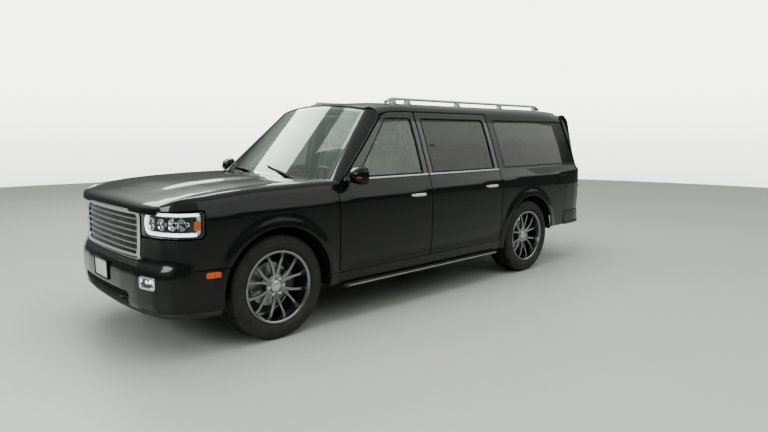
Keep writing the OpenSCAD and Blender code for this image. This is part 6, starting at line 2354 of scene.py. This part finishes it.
def carpets():
    """Carpets, mats and side trim of the load space, pedals and inner mirror."""
    def floor_at(z):
        def skin(x, y):
            x, y = pair(x, y)
            return np.stack([x, y, np.full(x.shape, z)], axis=-1)
        return skin
    carpet = pile("cut pile carpet", (0.035, 0.034, 0.033))
    main_ = panel(floor_at(0.536), outline([(-1.34, -0.80), (1.30, -0.80), (1.30, 0.80),
                                            (-1.34, 0.80)], 0.04, 0.08), grid=0.10, roll=0.004,
                  deep=0.005, side=1)
    dress(main_.object("cabin_carpet"), "body", carpet)
    rear_ = panel(floor_at(0.696), outline([(-2.62, -0.74), (-1.36, -0.74), (-1.36, 0.74),
                                            (-2.62, 0.74)], 0.04, 0.08), grid=0.10, roll=0.004,
                  deep=0.005, side=1)
    dress(rear_.object("load_carpet"), "body", carpet)
    for side, sign in SIDES:
        mat_ = panel(floor_at(0.545), outline([(0.90, sign * 0.40 - 0.21),
                                               (1.26, sign * 0.40 - 0.19),
                                               (1.26, sign * 0.40 + 0.21),
                                               (0.90, sign * 0.40 + 0.22)], 0.05, 0.04), grid=0.06,
                     roll=0.003, deep=0.006, side=1)
        dress(mat_.object("%s_floor_mat" % side), "body", seal())

    def lining(x, z):
        x, z = pair(x, z)
        y = 0.800 - 0.05 * ease((z - 1.25) / 0.35) - 0.07 * ease((-2.45 - x) / 0.2)
        return np.stack([x, y, z], axis=-1)
    loop = outline([(-2.60, 0.70), (-1.02, 0.70), (-1.02, 1.20), (-2.60, 1.20)], 0.04, 0.06)
    shape = panel(lining, loop, grid=0.07, roll=0.006, deep=0.008, side=1)
    sided("SIDE_load_trim", shape, BODY2, cabin_trim())
    pedals = Shape()
    for y, w in ((0.30, 0.028), (0.42, 0.045)):
        block(pedals, (1.255, y - w, 0.60), (1.270, y + w, 0.69))
        sweep([(1.265, y, 0.66), (1.29, y, 0.72), (1.30, y, 0.82)], [(1, 0, 0)] * 3,
              oval(0.012, 0.02, 8, 4), pedals)
    dress(bevel(tidy(pedals.object("pedals")), 0.004), "body", seal())
    rows = []
    p = screen(0.0, SCREEN_TOP * 0.80, -0.05)
    for t in np.linspace(0, 1, 10):
        s = oval(0.235 * (1 - 0.1 * t), 0.062 * (1 - 0.15 * t), 20, 3.5)
        rows.append([(p[0] - 0.02 + 0.028 * t, a, p[2] + b) for a, b in s])
    inner = tube(rows, capped=True)
    p = screen(0.0, SCREEN_TOP * 0.84, -0.006)
    sweep([p, p + [-0.03, 0, 0], (rows[-1][0][0], 0, rows[-1][5][2])], [UP] * 3, oval(0.02, 0.03,
            8), inner)
    dress(tidy(inner.object("cabin_mirror", 40)), "body", plastic())


# ---- stage ----
CAMERA_AT = (4.231, 4.712, 1.581)
CAMERA_WAY = (-0.6733, -0.7262, -0.1399)


def area(name, at, to, size, energy, colour, height):
    light = bpy.data.lights.new(name, "AREA")
    light.energy, light.color = energy, colour
    light.shape, light.size, light.size_y = "RECTANGLE", size, height
    obj = bpy.data.objects.new(name, light)
    obj.location = at
    obj.rotation_euler = (Vector(to) - Vector(at)).to_track_quat("-Z", "Y").to_euler()
    bpy.context.scene.collection.objects.link(obj)
    return obj


def stage():
    """Pale floor curving up to a wall that glows with painted light, soft lights and the camera."""
    scene = bpy.context.scene
    turn = np.linspace(0, 2 * math.pi, 73)

    def ring_sheet(name, profile, finish_):
        shape = Shape()
        strip([[(r * math.cos(t), r * math.sin(t), z) for t in turn] for r, z in profile], shape)
        sheet = shape.object(name, 80)
        sheet.data.materials.append(finish_)
        return sheet

    far, bow = 16.0, 2.6
    bend = [(far + bow * math.sin(t), bow - bow * math.cos(t)) for t in np.linspace(0.0,
            math.pi / 2, 12)]
    ring_sheet("studio_floor", [(r, 0.0) for r in (0.01, 2.0, 6.0, 11.0, far)], floor_finish())
    wall = ring_sheet("studio_wall", bend + [(far + bow, 6.0), (far + bow, 11.0)], wall_finish())
    wall.visible_glossy = wall.visible_diffuse = False
    wall.visible_shadow = wall.visible_transmission = False
    power = scene.suv.light_power
    area("soft_top", (0.2, 0.0, 6.4), (0.0, 0.0, 0.6), 7.0, 300 * power, (1.0, 1.0, 0.97),
         3.6).visible_glossy = False
    area("soft_right", (0.4, -8.4, 7.4), (0.6, -0.3, 1.2), 7.0, 330 * power, (0.95, 1.0, 0.94), 3.4)
    area("soft_left", (-7.6, 7.8, 5.5), (-7.6, 0.6, 2.3), 20.6, 330 * power, (1.0, 1.0, 0.97), 5.6)
    area("soft_front", (8.2, 1.6, 3.6), (2.4, 0.2, 0.8), 3.4, 190 * power, (0.97, 1.0, 0.98), 2.0)
    world = bpy.data.worlds.new("studio air")
    world.use_nodes = True
    tree = world.node_tree
    way = tree.nodes.new("ShaderNodeTexCoord")
    split = tree.nodes.new("ShaderNodeSeparateXYZ")
    ramp = tree.nodes.new("ShaderNodeValToRGB")
    tree.links.new(way.outputs["Generated"], split.inputs[0])
    tree.links.new(split.outputs["Z"], ramp.inputs["Fac"])
    tree.links.new(ramp.outputs["Color"], tree.nodes["Background"].inputs["Color"])
    stops = ((0.0, 0.10, 0.105, 0.10), (0.20, 0.13, 0.14, 0.13), (0.42, 0.70, 0.74, 0.69),
             (1.0, 0.86, 0.89, 0.87))
    for k, (at, *colour) in enumerate(stops):
        stop = ramp.color_ramp.elements[k] if k < 2 else ramp.color_ramp.elements.new(at)
        if k == 1:
            stop.position = at
        stop.color = (*colour, 1.0)
    tree.nodes["Background"].inputs["Strength"].default_value = 1.0
    scene.world = world
    camera = bpy.data.cameras.new("camera")
    camera.lens, camera.sensor_width = scene.suv.lens, 36.0
    camera.clip_end = 80
    obj = bpy.data.objects.new("camera", camera)
    obj.location = CAMERA_AT
    obj.rotation_euler = Vector(CAMERA_WAY).to_track_quat("-Z", "Y").to_euler()
    scene.collection.objects.link(obj)
    scene.camera = obj
    scene.view_settings.view_transform = "AgX"
    scene.view_settings.look = "AgX - Medium High Contrast"


# ---- add-on ----
class SuvSettings(bpy.types.PropertyGroup):
    """Choices for the vehicle's looks and its stage."""
    paint_colour: FloatVectorProperty(name="Paint", description="Colour of the body paint",
                                      subtype="COLOR", size=3, default=(0.0065, 0.0068, 0.0075),
                                      min=0.0, max=1.0)
    dust: FloatProperty(name="Road dust", description="How much dust lies on the lower body",
                        default=0.10, min=0.0, max=1.0, subtype="FACTOR")
    floor_colour: FloatVectorProperty(name="Floor", description="Colour of the studio floor",
                                      subtype="COLOR", size=3, default=(0.50, 0.51, 0.48), min=0.0,
                                      max=1.0)
    light_power: FloatProperty(name="Light", description="Brightness of the studio lights",
                               default=1.0, min=0.1, max=5.0)
    lens: FloatProperty(name="Lens", description="Focal length of the camera", default=27.0,
                        min=15.0, max=120.0, unit="CAMERA")


def maker(name, label, words, *steps):
    """An operator that runs the given steps."""
    def execute(self, context):
        before = len(bpy.data.objects)
        for step in steps:
            step()
        if len(bpy.data.objects) == before:
            raise RuntimeError(label + " made nothing")
        return {"FINISHED"}
    return type("SUV_OT_" + name, (bpy.types.Operator,), {"bl_idname": "suv." + name,
                                                          "bl_label": label,
                                                          "bl_description": words, "__doc__": words,
                                                          "execute": execute})


OPERATORS = (
    maker("panels", "Body panels", "Fenders, side frames, pillars, roof and hood",
          front_fenders, side_frames, inner_frames,
          screen_pillars, roof, hood),
    maker("screen", "Windscreen", "Windscreen, cowl and wipers", windscreen, cowl),
    maker("doors", "Doors", "Four doors with glass, trim, handles and mirrors", door_set),
    maker("gate", "Liftgate", "Liftgate with its glass, spoiler and trim", liftgate),
    maker("nose", "Front end", "Front bumper, grille, headlamps and fog lamps",
          front_bumper, grille, headlamps),
    maker("tail", "Rear end", "Rear bumper, plates and tail lamps", rear_bumper, tail_lamps),
    maker("steps", "Running boards", "Side steps with ribbed tops", running_boards),
    maker("wheels", "Wheels", "Tyres, rims and brake discs", wheels),
    maker("chassis", "Chassis", "Finishes of the frame, axles and engine, and the wheel liners",
          chassis_parts),
    maker("cabin", "Cabin", "Seats, dashboard, console and carpets",
          seats, dash, steering, carpets),
    maker("stage", "Stage", "Floor, lights and camera", stage),
)


class SUV_PT_panel(bpy.types.Panel):
    """Sidebar list of the vehicle's pieces."""
    bl_label = "Extended SUV"
    bl_space_type = "VIEW_3D"
    bl_region_type = "UI"
    bl_category = "SUV"

    def draw(self, context):
        for key in ("paint_colour", "dust", "floor_colour", "light_power", "lens"):
            self.layout.prop(context.scene.suv, key)
        for op in OPERATORS:
            self.layout.operator(op.bl_idname)


CLASSES = (SuvSettings,) + OPERATORS + (SUV_PT_panel,)


def register():
    for cls in CLASSES:
        bpy.utils.register_class(cls)
    bpy.types.Scene.suv = bpy.props.PointerProperty(type=SuvSettings)


def unregister():
    del bpy.types.Scene.suv
    for cls in reversed(CLASSES):
        bpy.utils.unregister_class(cls)


def main():
    register()
    for op in OPERATORS:
        place, name = op.bl_idname.split(".")
        if getattr(getattr(bpy.ops, place), name)() != {"FINISHED"}:
            raise RuntimeError(op.bl_label + " did not finish")


if __name__ == "__main__":
    main()
